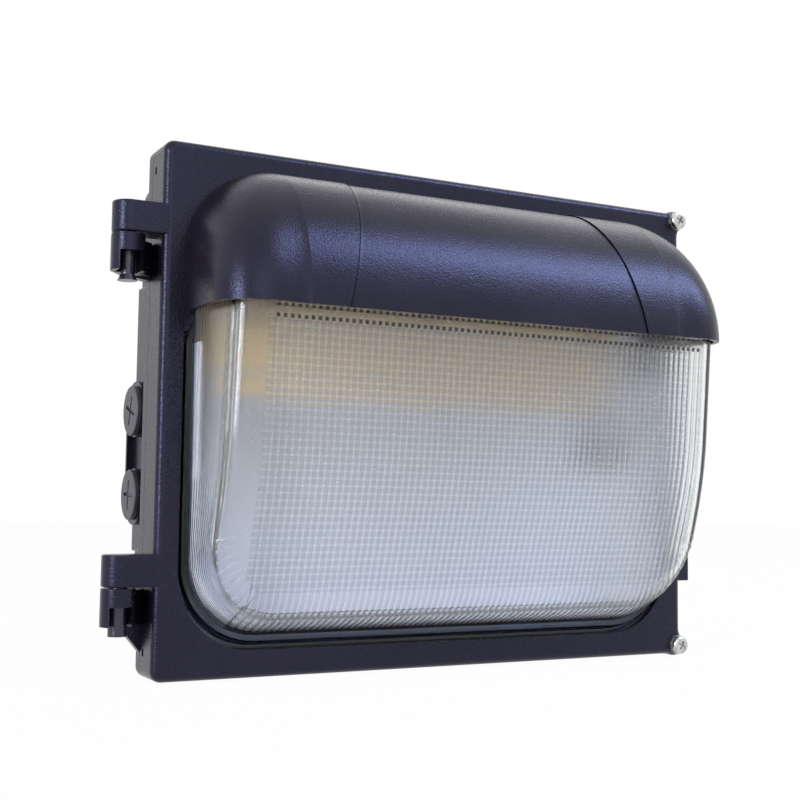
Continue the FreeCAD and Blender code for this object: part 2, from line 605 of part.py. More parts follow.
def clip_places():
    """Where the glass clips are screwed down: x, z and the direction towards the glass."""
    above = GLASS_TOP_Z + GLASS_RIM_WIDTH + CLIP_SCREW_RADIUS + CLIP_STANDOFF
    below = GLASS_BOTTOM_Z - GLASS_RIM_WIDTH
    places = []
    for i in range(CLIP_COUNT):
        x = (i - (CLIP_COUNT - 1) / 2) * GLASS_HALF_WIDTH
        places.append((x, above, -1))
    corner = GLASS_CORNER + GLASS_RIM_WIDTH
    reach = corner + CLIP_SCREW_RADIUS + CLIP_STANDOFF
    for side in (1, -1):
        x = side * (GLASS_HALF_WIDTH + GLASS_RIM_WIDTH - corner + reach * math.sin(math.radians(45)))
        z = below + corner - reach * math.cos(math.radians(45))
        places.append((x, z, side))
    return places


def glass_clip(x, z, side):
    """One flat clip over the glass rim; side is -1 above the glass, or the side of a lower corner."""
    back = CLIP_SCREW_RADIUS + CLIP_TAIL
    length = 2 * back + CLIP_LAP
    shape = box(-CLIP_WIDTH / 2, CLIP_WIDTH / 2, GLASS_BACK_Y, GLASS_BACK_Y + CLIP_THICKNESS, back - length, back)
    shape = shape.makeFillet(CLIP_ROUND, edges_where(shape, lambda e: e.BoundBox.YLength > CLIP_THICKNESS * 0.9))
    shape = shape.cut(rod(CLIP_SCREW_RADIUS + CLIP_HOLE_GAP, GLASS_BACK_Y - 1, GLASS_BACK_Y + 2 * CLIP_THICKNESS, 0, 0))
    turn = 0 if z > 0 else (135 if side > 0 else -135)
    shape.rotate(V(0, 0, 0), V(0, 1, 0), turn)
    shape.translate(V(x, 0, z))
    return shape


def pan_screw(radius, head_radius, head_height, y_seat, y_tip, x, z, domed=False):
    """A pan head screw along Y: the head stands in front of the seat and the shank ends at the tip."""
    shape = rod(radius, min(y_seat, y_tip), max(y_seat, y_tip), x, z)
    outward = -1 if y_tip > y_seat else 1
    base = V(x, y_seat, z)
    head = Part.makeCylinder(head_radius, head_height, base, V(0, outward, 0))
    top = y_seat + outward * head_height
    rims = edges_where(head, lambda e: abs(e.CenterOfMass.y - top) < 0.01)
    if domed:
        head = head.makeFillet(head_height * HEAD_ROUND_SHARE, rims)
    else:
        head = head.makeChamfer(head_height * HEAD_CHAMFER_SHARE, rims)
    return shape.fuse(head)


def glass_clips():
    """All the glass clips."""
    return Part.makeCompound([glass_clip(*place) for place in clip_places()])


def clip_screws():
    """The clips' screws, each into a boss on the door's plate."""
    seat = GLASS_BACK_Y + CLIP_THICKNESS
    return Part.makeCompound([pan_screw(CLIP_SCREW_RADIUS - THREAD_GAP, CLIP_SCREW_HEAD, CLIP_SCREW_HEAD_HEIGHT,
                                        seat, PLATE_BACK_Y + CLIP_SCREW_FLOOR, x, z) for x, z, _ in clip_places()])


# ---------------------------------------------------------------- captive door screws

def door_screw(z):
    """A captive door screw: pan head with a cross recess, threaded into the housing."""
    seat = DOOR_FRONT_Y - FLAT_WASHER_THICKNESS - SPRING_WASHER_THICKNESS
    tip = -HOUSING_DEPTH + SCREW_BITE
    shape = pan_screw(SCREW_RADIUS, SCREW_HEAD_RADIUS, SCREW_HEAD_HEIGHT, seat, tip, SCREW_X, z, domed=True)
    y0 = seat - SCREW_HEAD_HEIGHT
    for turn in (30, 120):
        arm_box = box(-SCREW_HEAD_RADIUS * 0.5, SCREW_HEAD_RADIUS * 0.5, y0 - 1, y0 + SCREW_HEAD_HEIGHT * 0.55,
                      -SCREW_HEAD_RADIUS * 0.12, SCREW_HEAD_RADIUS * 0.12)
        arm_box.rotate(V(0, 0, 0), V(0, 1, 0), turn)
        arm_box.translate(V(SCREW_X, 0, z))
        shape = shape.cut(arm_box)
    return shape


def ring(outer, inner, y0, y1, x, z):
    """A flat ring along Y."""
    return rod(outer, y0, y1, x, z).cut(rod(inner, y0 - 1, y1 + 1, x, z))


def flat_washer(z):
    """The plain washer under a door screw's head, on the door's face."""
    return ring(FLAT_WASHER_RADIUS, SCREW_RADIUS + THREAD_GAP, DOOR_FRONT_Y - FLAT_WASHER_THICKNESS, DOOR_FRONT_Y,
                SCREW_X, z)


def spring_washer(z):
    """The split spring washer between the plain washer and the screw's head."""
    y1 = DOOR_FRONT_Y - FLAT_WASHER_THICKNESS
    shape = ring(SPRING_WASHER_RADIUS, SCREW_RADIUS + THREAD_GAP, y1 - SPRING_WASHER_THICKNESS, y1, SCREW_X, z)
    split = box(0, SPRING_WASHER_RADIUS + 1, y1 - SPRING_WASHER_THICKNESS - 1, y1 + 1, -0.35, 0.35)
    split.rotate(V(0, y1 - SPRING_WASHER_THICKNESS / 2, 0), V(1, 0, 0), 30)
    split.translate(V(SCREW_X, 0, z))
    return shape.cut(split)


def retaining_ring(z):
    """The ring that keeps a backed-out screw in the door."""
    y1 = DOOR_BACK_Y - FIT_GAP
    return ring(RETAINER_RADIUS, SCREW_RADIUS + THREAD_GAP, y1 - RETAINER_THICKNESS, y1, SCREW_X, z)


# ---------------------------------------------------------------- housing

def hinge_barrel(arm_bottom, pin_radius, gusset_drop):
    """A hinge barrel under a door arm, with its web and gusset to the flange."""
    top = arm_bottom - HINGE_END_GAP
    low = top - BARREL_HEIGHT
    barrel = Part.makeCylinder(KNUCKLE_RADIUS, BARREL_HEIGHT, V(HINGE_X, HINGE_Y, low))
    edge_x = -DOOR_WIDTH / 2 - HINGE_X
    front_y = -HOUSING_DEPTH - HINGE_Y
    back_y = FLANGE_BACK_Y - HINGE_Y
    r = KNUCKLE_RADIUS
    crook_x = edge_x - WEB_CROOK_GAP
    root_x = edge_x + ROOT_LAP
    plan = [(-r * WEB_OUTER_SHARE, r * WEB_FRONT_SHARE), (r * WEB_OUTER_SHARE, r * WEB_FRONT_SHARE),
            (crook_x, front_y * WEB_CROOK_SHARE), (crook_x, front_y), (root_x, front_y),
            (root_x, back_y), (r * WEB_INNER_SHARE, back_y)]
    web_top = top - WEB_SINK
    points = [V(HINGE_X + x, HINGE_Y + y, low) for x, y in plan]
    web = polygon_prism(points, V(0, 0, web_top - low))
    x0, x1 = HINGE_X + r * WEB_INNER_SHARE, HINGE_X + root_x
    gusset = polygon_prism([V(x0, -HOUSING_DEPTH, low), V(x1, -HOUSING_DEPTH, low),
                            V(x1, -HOUSING_DEPTH, low - gusset_drop)], V(0, FLANGE_THICKNESS, 0))
    shape = barrel.fuse([web, gusset]).removeSplitter()
    shape = shape.cut(Part.makeCylinder(pin_radius + PIN_RUNNING_GAP, BARREL_HEIGHT + 2,
                                        V(HINGE_X, HINGE_Y, low - 1)))
    half = BARREL_SLOT_WIDTH / 2
    slot = box(HINGE_X - half, HINGE_X + half, HINGE_Y - r - CUT_MARGIN, HINGE_Y + pin_radius + BARREL_SLOT_BACK,
               low - CUT_MARGIN, top - BARREL_RING)
    return shape.cut(slot)


def plug_pad():
    """The raised pad round the two conduit entries, with the pocket between them."""
    r = PLUG_PAD_RADIUS
    inner_x = -BODY_WIDTH / 2 + ROOT_LAP
    depth = inner_x - PLUG_FACE_X
    axis = V(1, 0, 0)
    shape = box(PLUG_FACE_X, inner_x, PLUG_Y - r, PLUG_Y + r, PLUG_LOWER_Z, PLUG_UPPER_Z)
    for z in (PLUG_UPPER_Z, PLUG_LOWER_Z):
        shape = shape.fuse(Part.makeCylinder(r, depth, V(PLUG_FACE_X, PLUG_Y, z), axis))
    shape = shape.removeSplitter()
    rim = PLUG_HEAD_RADIUS + PLUG_RECESS_GAP
    pocket = box(PLUG_FACE_X - 1, PLUG_FACE_X + POCKET_DEPTH, PLUG_Y - r + POCKET_RIM, PLUG_Y + r - POCKET_RIM,
                 PLUG_LOWER_Z + rim * POCKET_END_SHARE, PLUG_UPPER_Z - rim * POCKET_END_SHARE)
    for z in (PLUG_UPPER_Z, PLUG_LOWER_Z):
        pocket = pocket.cut(Part.makeCylinder(rim, depth + 2, V(PLUG_FACE_X - 1, PLUG_Y, z), axis))
    return shape.cut(pocket)


def back_housing():
    """The housing casting: box, flange, hinge barrels, conduit pad and inner posts."""
    w, h = BODY_WIDTH / 2, BODY_HEIGHT / 2
    body = slab(w, -h, h, BODY_CORNER, BODY_CORNER, -HOUSING_DEPTH, 0)
    body = body.makeFillet(BODY_BACK_ROUND, edges_where(body, lambda e: e.BoundBox.YMin > -0.01))
    pad = box(-w - PAD_PROUD, -w + HOUSING_WALL, -HOUSING_DEPTH + PAD_SETBACK, -PAD_SETBACK, PAD_BOTTOM, PAD_TOP)
    pad = pad.makeFillet(PAD_ROUND, edges_where(pad, lambda e: e.BoundBox.XMax < -w - PAD_PROUD + 0.01))
    flange = slab(DOOR_WIDTH / 2, -DOOR_HEIGHT / 2, DOOR_HEIGHT / 2, DOOR_CORNER, DOOR_CORNER,
                  -HOUSING_DEPTH, FLANGE_BACK_Y)
    for z in (SCREW_Z, -SCREW_Z):
        flange = flange.fuse(rod(EAR_RADIUS, -HOUSING_DEPTH, FLANGE_BACK_Y, SCREW_X, z))
    flange = flange.removeSplitter()

    def is_waist(e):
        c = e.CenterOfMass
        off = math.hypot(c.x - SCREW_X, abs(c.z) - SCREW_Z)
        return e.BoundBox.YLength > FLANGE_THICKNESS - 0.1 and abs(off - EAR_RADIUS) < 0.05

    flange = flange.makeFillet(EAR_WAIST, edges_where(flange, is_waist))
    for z in (SCREW_Z, -SCREW_Z):
        flange = flange.fuse(rod(EAR_RADIUS - BOSS_INSET, FLANGE_BACK_Y - CUT_MARGIN, -HOUSING_DEPTH + BOSS_DEPTH,
                                 SCREW_X, z))
    shape = body.fuse([pad, flange, plug_pad(), hinge_barrel(UPPER_ARM_BOTTOM, PIN_RADIUS_UPPER, GUSSET_DROP_UPPER),
                       hinge_barrel(LOWER_ARM_BOTTOM, PIN_RADIUS_LOWER, GUSSET_DROP_LOWER)])
    t = HOUSING_WALL
    shape = shape.cut(slab(w - t, -h + t, h - t, BODY_CORNER - t, BODY_CORNER - t, FLANGE_BACK_Y, -BACK_WALL))
    shape = shape.cut(slab(OPENING_X, -OPENING_Z, OPENING_Z, BODY_CORNER - t, BODY_CORNER - t,
                           -HOUSING_DEPTH - 1, FLANGE_BACK_Y + 0.5))
    root_y = -BACK_WALL + BACK_WALL / 2
    posts = [rod(POST_RADIUS, DRIVER_BACK_Y, root_y, x, z) for x, z in driver_screw_places()]
    posts.append(rod(POST_RADIUS, -BACK_WALL - GROUND_BOSS_HEIGHT, root_y, TERMINAL_X, GROUND_SCREW_Z))
    shape = shape.fuse(posts)
    holes = [rod(SCREW_RADIUS + THREAD_GAP, -HOUSING_DEPTH - 1, -HOUSING_DEPTH + SCREW_BITE + 1, SCREW_X, z)
             for z in (SCREW_Z, -SCREW_Z)]
    holes += [rod(POST_SPIGOT_RADIUS, -BACK_WALL - 1, -BACK_WALL + POST_SPIGOT_LENGTH, x, z)
              for x, z in tray_screw_places()]
    holes += [rod(DRIVER_SCREW_RADIUS, DRIVER_BACK_Y - 1, -SCREW_SKIN, x, z) for x, z in driver_screw_places()]
    holes.append(rod(GROUND_SCREW_RADIUS, -BACK_WALL - GROUND_BOSS_HEIGHT - 1, -SCREW_SKIN,
                     TERMINAL_X, GROUND_SCREW_Z))
    holes.append(rod(ENTRY_RADIUS, -BACK_WALL - 1, 1, 0, ENTRY_Z))
    holes += [rod(FIX_HOLE_RADIUS, -BACK_WALL - 1, 1, sx * FIX_SPACING_X / 2, sz * FIX_SPACING_Z / 2)
              for sx in (1, -1) for sz in (1, -1)]
    hole_r = PLUG_SHANK_RADIUS + PLUG_SHANK_GAP
    holes += [Part.makeCylinder(hole_r, w, V(PLUG_FACE_X - 1, PLUG_Y, z), V(1, 0, 0)).common(
        box(-2 * w, -w + t + 1, -HOUSING_DEPTH, 0, -h, h)) for z in (PLUG_UPPER_Z, PLUG_LOWER_Z)]
    return shape.cut(holes)


def conduit_plug(z, turn):
    """A closing plug for a conduit entry: a flat head with a cross slot and a threaded shank."""
    face = PLUG_FACE_X - SEAL_THICKNESS
    axis = V(1, 0, 0)
    head = Part.makeCylinder(PLUG_HEAD_RADIUS, PLUG_HEAD_THICKNESS, V(face - PLUG_HEAD_THICKNESS, PLUG_Y, z), axis)
    rims = edges_where(head, lambda e: e.CenterOfMass.x < face - PLUG_HEAD_THICKNESS + 0.01)
    head = head.makeChamfer(PLUG_HEAD_CHAMFER, rims)
    shape = head.fuse(Part.makeCylinder(PLUG_SHANK_RADIUS, PLUG_SHANK_LENGTH, V(face, PLUG_Y, z), axis))
    half = PLUG_SLOT_LENGTH / 2
    for extra in (0, 90):
        slot = box(face - PLUG_HEAD_THICKNESS - 1, face - PLUG_HEAD_THICKNESS + PLUG_SLOT_DEPTH,
                   -half, half, -PLUG_SLOT_WIDTH / 2, PLUG_SLOT_WIDTH / 2)
        slot.rotate(V(0, 0, 0), V(1, 0, 0), turn + extra)
        slot.translate(V(0, PLUG_Y, z))
        shape = shape.cut(slot)
    return shape


def tray_post(x, z):
    """One hexagonal post, pressed into the back wall by its spigot and bored for a tray screw."""
    corners = [V(x + POST_RADIUS / HEX_FLAT_SHARE * math.sin(math.radians(60 * i)), POST_TOP_Y,
                 z + POST_RADIUS / HEX_FLAT_SHARE * math.cos(math.radians(60 * i))) for i in range(6)]
    shape = polygon_prism(corners, V(0, -BACK_WALL - POST_TOP_Y, 0))
    shape = shape.fuse(rod(POST_SPIGOT_RADIUS, -BACK_WALL - 1, -BACK_WALL + POST_SPIGOT_LENGTH, x, z))
    return shape.cut(rod(TRAY_SCREW_RADIUS, POST_TOP_Y - 1, POST_TOP_Y + TRAY_SCREW_BITE + 1, x, z))


def tray_posts():
    """The four posts that carry the gear tray."""
    return Part.makeCompound([tray_post(x, z) for x, z in tray_screw_places()])


def plug_seals():
    """The flat seals under the plugs' heads."""
    seals = []
    for z in (PLUG_UPPER_Z, PLUG_LOWER_Z):
        face = V(PLUG_FACE_X - SEAL_THICKNESS, PLUG_Y, z)
        disc = Part.makeCylinder(PLUG_HEAD_RADIUS - SEAL_INSET, SEAL_THICKNESS, face, V(1, 0, 0))
        bore = Part.makeCylinder(PLUG_SHANK_RADIUS + SEAL_BORE_GAP, SEAL_THICKNESS + 2 * CUT_MARGIN,
                                 face - V(CUT_MARGIN, 0, 0), V(1, 0, 0))
        seals.append(disc.cut(bore))
    return Part.makeCompound(seals)


def door_seal():
    """The rubber seal round the housing's opening, on the flange's face."""
    x, z = OPENING_X + DOOR_SEAL_GAP_X, OPENING_Z + DOOR_SEAL_GAP_Z
    y0, y1 = -HOUSING_DEPTH - DOOR_SEAL_HEIGHT, -HOUSING_DEPTH
    width = DOOR_SEAL_WIDTH
    outer = slab(x + width, -z - width, z + width, TRAY_CORNER + width, TRAY_CORNER + width, y0, y1)
    return outer.cut(slab(x, -z, z, TRAY_CORNER, TRAY_CORNER, y0 - 1, y1 + 1))


# ---------------------------------------------------------------- light engine

def tray_screw_places():
    return [(sx * POST_X, sz * POST_Z) for sx in (1, -1) for sz in (1, -1)]


def gear_tray():
    """The white tray that carries the light engine: a flat floor with sloped sides."""
    def form(inset, y_floor, y_front):
        low = outline(TRAY_X - TRAY_SLOPE - inset, -TRAY_Z + TRAY_SLOPE + inset, TRAY_Z - TRAY_SLOPE - inset,
                      TRAY_CORNER, TRAY_CORNER, y_floor)
        high = outline(TRAY_X - inset, -TRAY_Z + inset, TRAY_Z - inset, TRAY_CORNER, TRAY_CORNER, y_front)
        return Part.makeLoft([low, high], True, True)
    t = TRAY_THICKNESS
    shape = form(0, TRAY_FLOOR_Y + t, TRAY_FRONT_Y).cut(form(t, TRAY_FLOOR_Y, TRAY_FRONT_Y - 0.001))
    holes = [rod(TRAY_SCREW_RADIUS + 0.3, TRAY_FLOOR_Y - 1, TRAY_FLOOR_Y + 2 * t, x, z) for x, z in tray_screw_places()]
    holes += [rod(BOARD_SCREW_RADIUS, TRAY_FLOOR_Y - 1, TRAY_FLOOR_Y + 2 * t, x, z) for x, z in board_screw_places()]
    holes.append(rod(GROMMET_WAIST, TRAY_FLOOR_Y - 1, TRAY_FLOOR_Y + 2 * t, GROMMET_X, GROMMET_Z))
    return shape.cut(holes)


def tray_screws():
    """The screws that hold the tray on the housing's posts."""
    return Part.makeCompound([pan_screw(TRAY_SCREW_RADIUS - THREAD_GAP, TRAY_SCREW_HEAD, TRAY_SCREW_HEAD_HEIGHT,
                                        TRAY_FLOOR_Y, POST_TOP_Y + TRAY_SCREW_BITE, x, z)
                              for x, z in tray_screw_places()])


def board_screw_places():
    dz = BOARD_HEIGHT / 2 - BOARD_SCREW_EDGE
    return [(i * BOARD_SCREW_SPACING, BOARD_CENTRE_Z + s * dz) for i in (-1, 0, 1) for s in (1, -1)]


def board_slab(y0, y1):
    """The board's outline between two depths, with its screw holes."""
    half = BOARD_HEIGHT / 2
    shape = slab(BOARD_WIDTH / 2, BOARD_CENTRE_Z - half, BOARD_CENTRE_Z + half, 2.0, 2.0, y0, y1)
    return shape.cut([rod(BOARD_SCREW_RADIUS + 0.2, y0 - 1, y1 + 1, x, z) for x, z in board_screw_places()])


def led_strips():
    """The long light-emitting strips on the board."""
    strips = []
    for i in range(STRIP_COUNT):
        z = BOARD_CENTRE_Z + (i - (STRIP_COUNT - 1) / 2) * STRIP_PITCH
        strip = box(-STRIP_LENGTH / 2, STRIP_LENGTH / 2, BOARD_FRONT_Y - STRIP_HEIGHT, BOARD_FRONT_Y,
                    z - STRIP_WIDTH / 2, z + STRIP_WIDTH / 2)
        rims = edges_where(strip, lambda e: e.BoundBox.YMax < BOARD_FRONT_Y - STRIP_HEIGHT + 0.01)
        strips.append(strip.makeFillet(0.6, rims))
    return Part.makeCompound(strips)


def board_screws():
    """The screws that hold the board on the tray."""
    return Part.makeCompound([pan_screw(BOARD_SCREW_RADIUS - THREAD_GAP, BOARD_SCREW_HEAD, BOARD_SCREW_HEAD_HEIGHT,
                                        BOARD_FRONT_Y, POST_TOP_Y + BOARD_SCREW_TIP, x, z)
                              for x, z in board_screw_places()])


def driver_screw_places():
    dx = DRIVER_WIDTH / 2 + DRIVER_EAR / 2
    return [(DRIVER_CENTRE_X + s * dx, DRIVER_CENTRE_Z) for s in (-1, 1)]


def led_driver():
    """The driver: a closed case with a fixing ear at each end."""
    x0, x1 = DRIVER_CENTRE_X - DRIVER_WIDTH / 2, DRIVER_CENTRE_X + DRIVER_WIDTH / 2
    z0, z1 = DRIVER_CENTRE_Z - DRIVER_HEIGHT / 2, DRIVER_CENTRE_Z + DRIVER_HEIGHT / 2
    case = box(x0, x1, DRIVER_BACK_Y - DRIVER_DEPTH, DRIVER_BACK_Y, z0, z1)
    case = case.makeFillet(1.5, case.Edges)
    ears = box(x0 - DRIVER_EAR, x1 + DRIVER_EAR, DRIVER_BACK_Y - DRIVER_EAR_THICKNESS, DRIVER_BACK_Y,
               DRIVER_CENTRE_Z - DRIVER_EAR, DRIVER_CENTRE_Z + DRIVER_EAR)
    ears = ears.makeFillet(3.0, edges_where(ears, lambda e: e.BoundBox.YLength > DRIVER_EAR_THICKNESS * 0.9))
    shape = case.fuse(ears)
    return shape.cut([rod(DRIVER_SCREW_RADIUS + 0.3, DRIVER_BACK_Y - DRIVER_EAR_THICKNESS - 1, DRIVER_BACK_Y + 1, x, z)
                      for x, z in driver_screw_places()])


def driver_screws():
    """The driver's screws, into the housing's back wall."""
    seat = DRIVER_BACK_Y - DRIVER_EAR_THICKNESS
    return Part.makeCompound([pan_screw(DRIVER_SCREW_RADIUS - THREAD_GAP, DRIVER_SCREW_HEAD, DRIVER_SCREW_HEAD_HEIGHT,
                                        seat, -SCREW_SKIN - 0.2, x, z) for x, z in driver_screw_places()])


def terminal_block():
    """The terminal block for the supply, on the housing's back wall."""
    x0, x1 = TERMINAL_X - TERMINAL_WIDTH / 2, TERMINAL_X + TERMINAL_WIDTH / 2
    z0, z1 = TERMINAL_Z - TERMINAL_HEIGHT / 2, TERMINAL_Z + TERMINAL_HEIGHT / 2
    shape = box(x0, x1, -BACK_WALL - TERMINAL_DEPTH, -BACK_WALL, z0, z1)
    step = TERMINAL_WIDTH / TERMINAL_POLE_COUNT
    for i in range(TERMINAL_POLE_COUNT):
        x = x0 + (i + 0.5) * step
        y = -BACK_WALL - TERMINAL_DEPTH * TERMINAL_HOLE_SHARE
        shape = shape.cut(Part.makeCylinder(step * 0.28, TERMINAL_HEIGHT + 2, V(x, y, z0 - 1)))
        shape = shape.cut(rod(step * 0.24, -BACK_WALL - TERMINAL_DEPTH - 1, y, x, TERMINAL_Z))
    return shape


def ground_screw():
    """The earth screw on its boss in the back wall."""
    seat = -BACK_WALL - GROUND_BOSS_HEIGHT
    return pan_screw(GROUND_SCREW_RADIUS - THREAD_GAP, GROUND_SCREW_HEAD, GROUND_SCREW_HEAD_HEIGHT, seat,
                     -SCREW_SKIN - 0.2, TERMINAL_X, GROUND_SCREW_Z)


def lead_places():
    """The two leads' offsets from the grommet's centre along X."""
    return (-LEAD_SPACING / 2, LEAD_SPACING / 2)


def lead_grommet():
    """The rubber grommet that the leads pass through, in the tray's floor."""
    y0, y1 = TRAY_FLOOR_Y - GROMMET_LIP, TRAY_FLOOR_Y + TRAY_THICKNESS + GROMMET_LIP
    shape = rod(GROMMET_RADIUS, y0, TRAY_FLOOR_Y, GROMMET_X, GROMMET_Z)
    shape = shape.fuse([rod(GROMMET_WAIST - 0.05, TRAY_FLOOR_Y - 0.1, y1 - GROMMET_LIP + 0.1, GROMMET_X, GROMMET_Z),
                        rod(GROMMET_RADIUS, TRAY_FLOOR_Y + TRAY_THICKNESS, y1, GROMMET_X, GROMMET_Z)])
    return shape.cut([rod(LEAD_RADIUS + 0.15, y0 - 1, y1 + 1, GROMMET_X + dx, GROMMET_Z) for dx in lead_places()])


def bent_lead(points):
    """A round lead along a run of points, with a tangent bend at each turn."""
    edges = []
    here = points[0]
    for before, corner, after in zip(points, points[1:], points[2:]):
        into = (corner - before).normalize()
        out = (after - corner).normalize()
        start, stop = corner - into * LEAD_BEND, corner + out * LEAD_BEND
        middle = corner + (out - into) * LEAD_BEND * (1 - math.sqrt(0.5))
        edges += [Part.LineSegment(here, start).toShape(), Part.Arc(start, middle, stop).toShape()]
        here = stop
    edges.append(Part.LineSegment(here, points[-1]).toShape())
    path = Part.Wire(edges)
    profile = Part.Wire(Part.makeCircle(LEAD_RADIUS, points[0], (points[1] - points[0]).normalize()))
    return path.makePipeShell([profile], True, True)


def board_lead(offset):
    """One lead from the driver's end, through the grommet and down onto the board."""
    x = GROMMET_X + offset
    start_x = DRIVER_CENTRE_X + DRIVER_WIDTH / 2
    start_z = DRIVER_CENTRE_Z + DRIVER_EAR + LEAD_BEND - 2 * offset
    y_front = TRAY_FLOOR_Y - GROMMET_LIP - LEAD_LOOP
    return bent_lead([V(start_x, -LEAD_DEPTH, start_z), V(x, -LEAD_DEPTH, start_z), V(x, -LEAD_DEPTH, GROMMET_Z),
                      V(x, y_front, GROMMET_Z), V(x, y_front, LEAD_END_Z), V(x, BOARD_FRONT_Y, LEAD_END_Z)])


def supply_lead(offset):
    """One lead from the terminal block's top across to the driver's other end."""
    x = TERMINAL_X + offset
    y = -BACK_WALL - TERMINAL_DEPTH * TERMINAL_HOLE_SHARE
    top = TERMINAL_Z + TERMINAL_HEIGHT / 2
    run_z = top + LEAD_RISE - offset / 2
    return bent_lead([V(x, y, top - LEAD_ENTRY), V(x, y, run_z), V(DRIVER_CENTRE_X - DRIVER_WIDTH / 2, y, run_z)])


# ---------------------------------------------------------------- run

def main():
    """Write every sub-part."""
    os.makedirs("parts", exist_ok=True)
    save(back_housing(), "back_housing")
    save(tray_posts(), "tray_posts")
    save(door_seal(), "door_seal")
    save(conduit_plug(PLUG_UPPER_Z, PLUG_UPPER_TURN), "conduit_plug_upper")
    save(conduit_plug(PLUG_LOWER_Z, PLUG_LOWER_TURN), "conduit_plug_lower")
    save(plug_seals(), "plug_seals")
    save(gear_tray(), "gear_tray")
    save(tray_screws(), "tray_screws")
    save(board_slab(BOARD_BACK_Y, TRAY_FLOOR_Y), "thermal_pad")
    save(board_slab(BOARD_FRONT_Y, BOARD_BACK_Y), "led_board")
    save(led_strips(), "led_strips")
    save(board_screws(), "board_screws")
    save(led_driver(), "led_driver")
    save(driver_screws(), "driver_screws")
    save(terminal_block(), "terminal_block")
    save(ground_screw(), "ground_screw")
    save(lead_grommet(), "lead_grommet")
    for offset, name in zip(lead_places(), ("lead_negative", "lead_positive")):
        save(board_lead(offset), name)
    pole = TERMINAL_WIDTH / TERMINAL_POLE_COUNT
    for offset, name in ((-pole, "lead_line"), (0.0, "lead_neutral")):
        save(supply_lead(offset), name)
    save(door_frame(), "door_frame")
    save(pin(UPPER_ARM_BOTTOM, PIN_RADIUS_UPPER, True), "hinge_pin_upper")
    save(pin(LOWER_ARM_BOTTOM, PIN_RADIUS_LOWER, False), "hinge_pin_lower")
    save(glass_refractor(), "glass_refractor")
    save(glass_gasket(), "glass_gasket")
    save(glass_clips(), "glass_clips")
    save(clip_screws(), "clip_screws")
    for z, word in ((SCREW_Z, "upper"), (-SCREW_Z, "lower")):
        save(door_screw(z), "door_screw_" + word)
        save(flat_washer(z), "flat_washer_" + word)
        save(spring_washer(z), "spring_washer_" + word)
        save(retaining_ring(z), "retaining_ring_" + word)


main()
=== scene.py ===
"""Looks of the wall pack light: finishes, the ribbed glass bowl, small details and the studio.

Every length is in metres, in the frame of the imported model: X runs to the right seen from the
front, Y into the wall and Z up.
"""

import logging
import math
from dataclasses import dataclass
from enum import Enum
from typing import Any, Callable, Iterable, Optional, Sequence, Union

import bmesh
import bpy
from mathutils import Matrix, Vector


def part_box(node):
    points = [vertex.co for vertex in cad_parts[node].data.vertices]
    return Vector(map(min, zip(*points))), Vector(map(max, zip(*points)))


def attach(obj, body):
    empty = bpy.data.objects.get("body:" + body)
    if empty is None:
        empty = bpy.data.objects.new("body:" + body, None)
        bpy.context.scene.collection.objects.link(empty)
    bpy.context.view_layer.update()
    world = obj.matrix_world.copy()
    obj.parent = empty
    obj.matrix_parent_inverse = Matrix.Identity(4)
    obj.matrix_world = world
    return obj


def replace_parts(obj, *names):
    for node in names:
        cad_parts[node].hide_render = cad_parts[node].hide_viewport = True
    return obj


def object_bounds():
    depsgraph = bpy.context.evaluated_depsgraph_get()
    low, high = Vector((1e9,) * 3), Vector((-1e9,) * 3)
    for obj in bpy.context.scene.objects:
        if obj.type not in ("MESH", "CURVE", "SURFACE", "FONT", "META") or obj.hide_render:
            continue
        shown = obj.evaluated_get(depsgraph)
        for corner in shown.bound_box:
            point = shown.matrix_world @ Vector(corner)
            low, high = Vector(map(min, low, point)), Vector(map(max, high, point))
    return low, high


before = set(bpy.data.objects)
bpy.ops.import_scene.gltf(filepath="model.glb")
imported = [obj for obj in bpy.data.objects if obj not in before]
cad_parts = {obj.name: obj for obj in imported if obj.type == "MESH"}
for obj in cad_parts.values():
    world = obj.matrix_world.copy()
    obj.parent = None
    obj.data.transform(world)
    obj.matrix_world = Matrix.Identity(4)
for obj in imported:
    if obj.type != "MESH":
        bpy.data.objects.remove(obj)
cad_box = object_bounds()

DOOR = "door"
log = logging.getLogger("wall_pack_light")

Colour = tuple[float, float, float]


# ---------------------------------------------------------------- shader expressions

class Value:
    """A node's output that takes part in arithmetic; each operation adds its Math node."""

    def __init__(self, surface: "Surface", output: bpy.types.NodeSocket) -> None:
        """Wrap an output.

        Args:
            surface: The surface whose nodes the output belongs to.
            output: The output itself.
        """
        self.surface = surface
        self.output = output

    def math(self, operation: str, *others: Union["Value", float], first: bool = True) -> "Value":
        """Join this value and others by one Math operation.

        Args:
            operation: The Math node's operation.
            others: The other operands.
            first: Whether this value is the first operand.

        Returns:
            The result.
        """
        operands = [self, *others] if first else [*others, self]
        return self.surface.node("ShaderNodeMath", {"operation": operation}, dict(enumerate(operands)))

    def __add__(self, other: Union["Value", float]) -> "Value":
        """Add."""
        return self.math("ADD", other)

    __radd__ = __add__

    def __sub__(self, other: Union["Value", float]) -> "Value":
        """Subtract."""
        return self.math("SUBTRACT", other)

    def __rsub__(self, other: Union["Value", float]) -> "Value":
        """Subtract from a number."""
        return self.math("SUBTRACT", other, first=False)

    def __mul__(self, other: Union["Value", float]) -> "Value":
        """Multiply."""
        return self.math("MULTIPLY", other)

    __rmul__ = __mul__

    def __truediv__(self, other: Union["Value", float]) -> "Value":
        """Divide."""
        return self.math("DIVIDE", other)

    def clamp(self) -> "Value":
        """Keep between 0 and 1."""
        return self.math("MINIMUM", 1.0).math("MAXIMUM", 0.0)


Input = Union[Value, float, Sequence[float]]


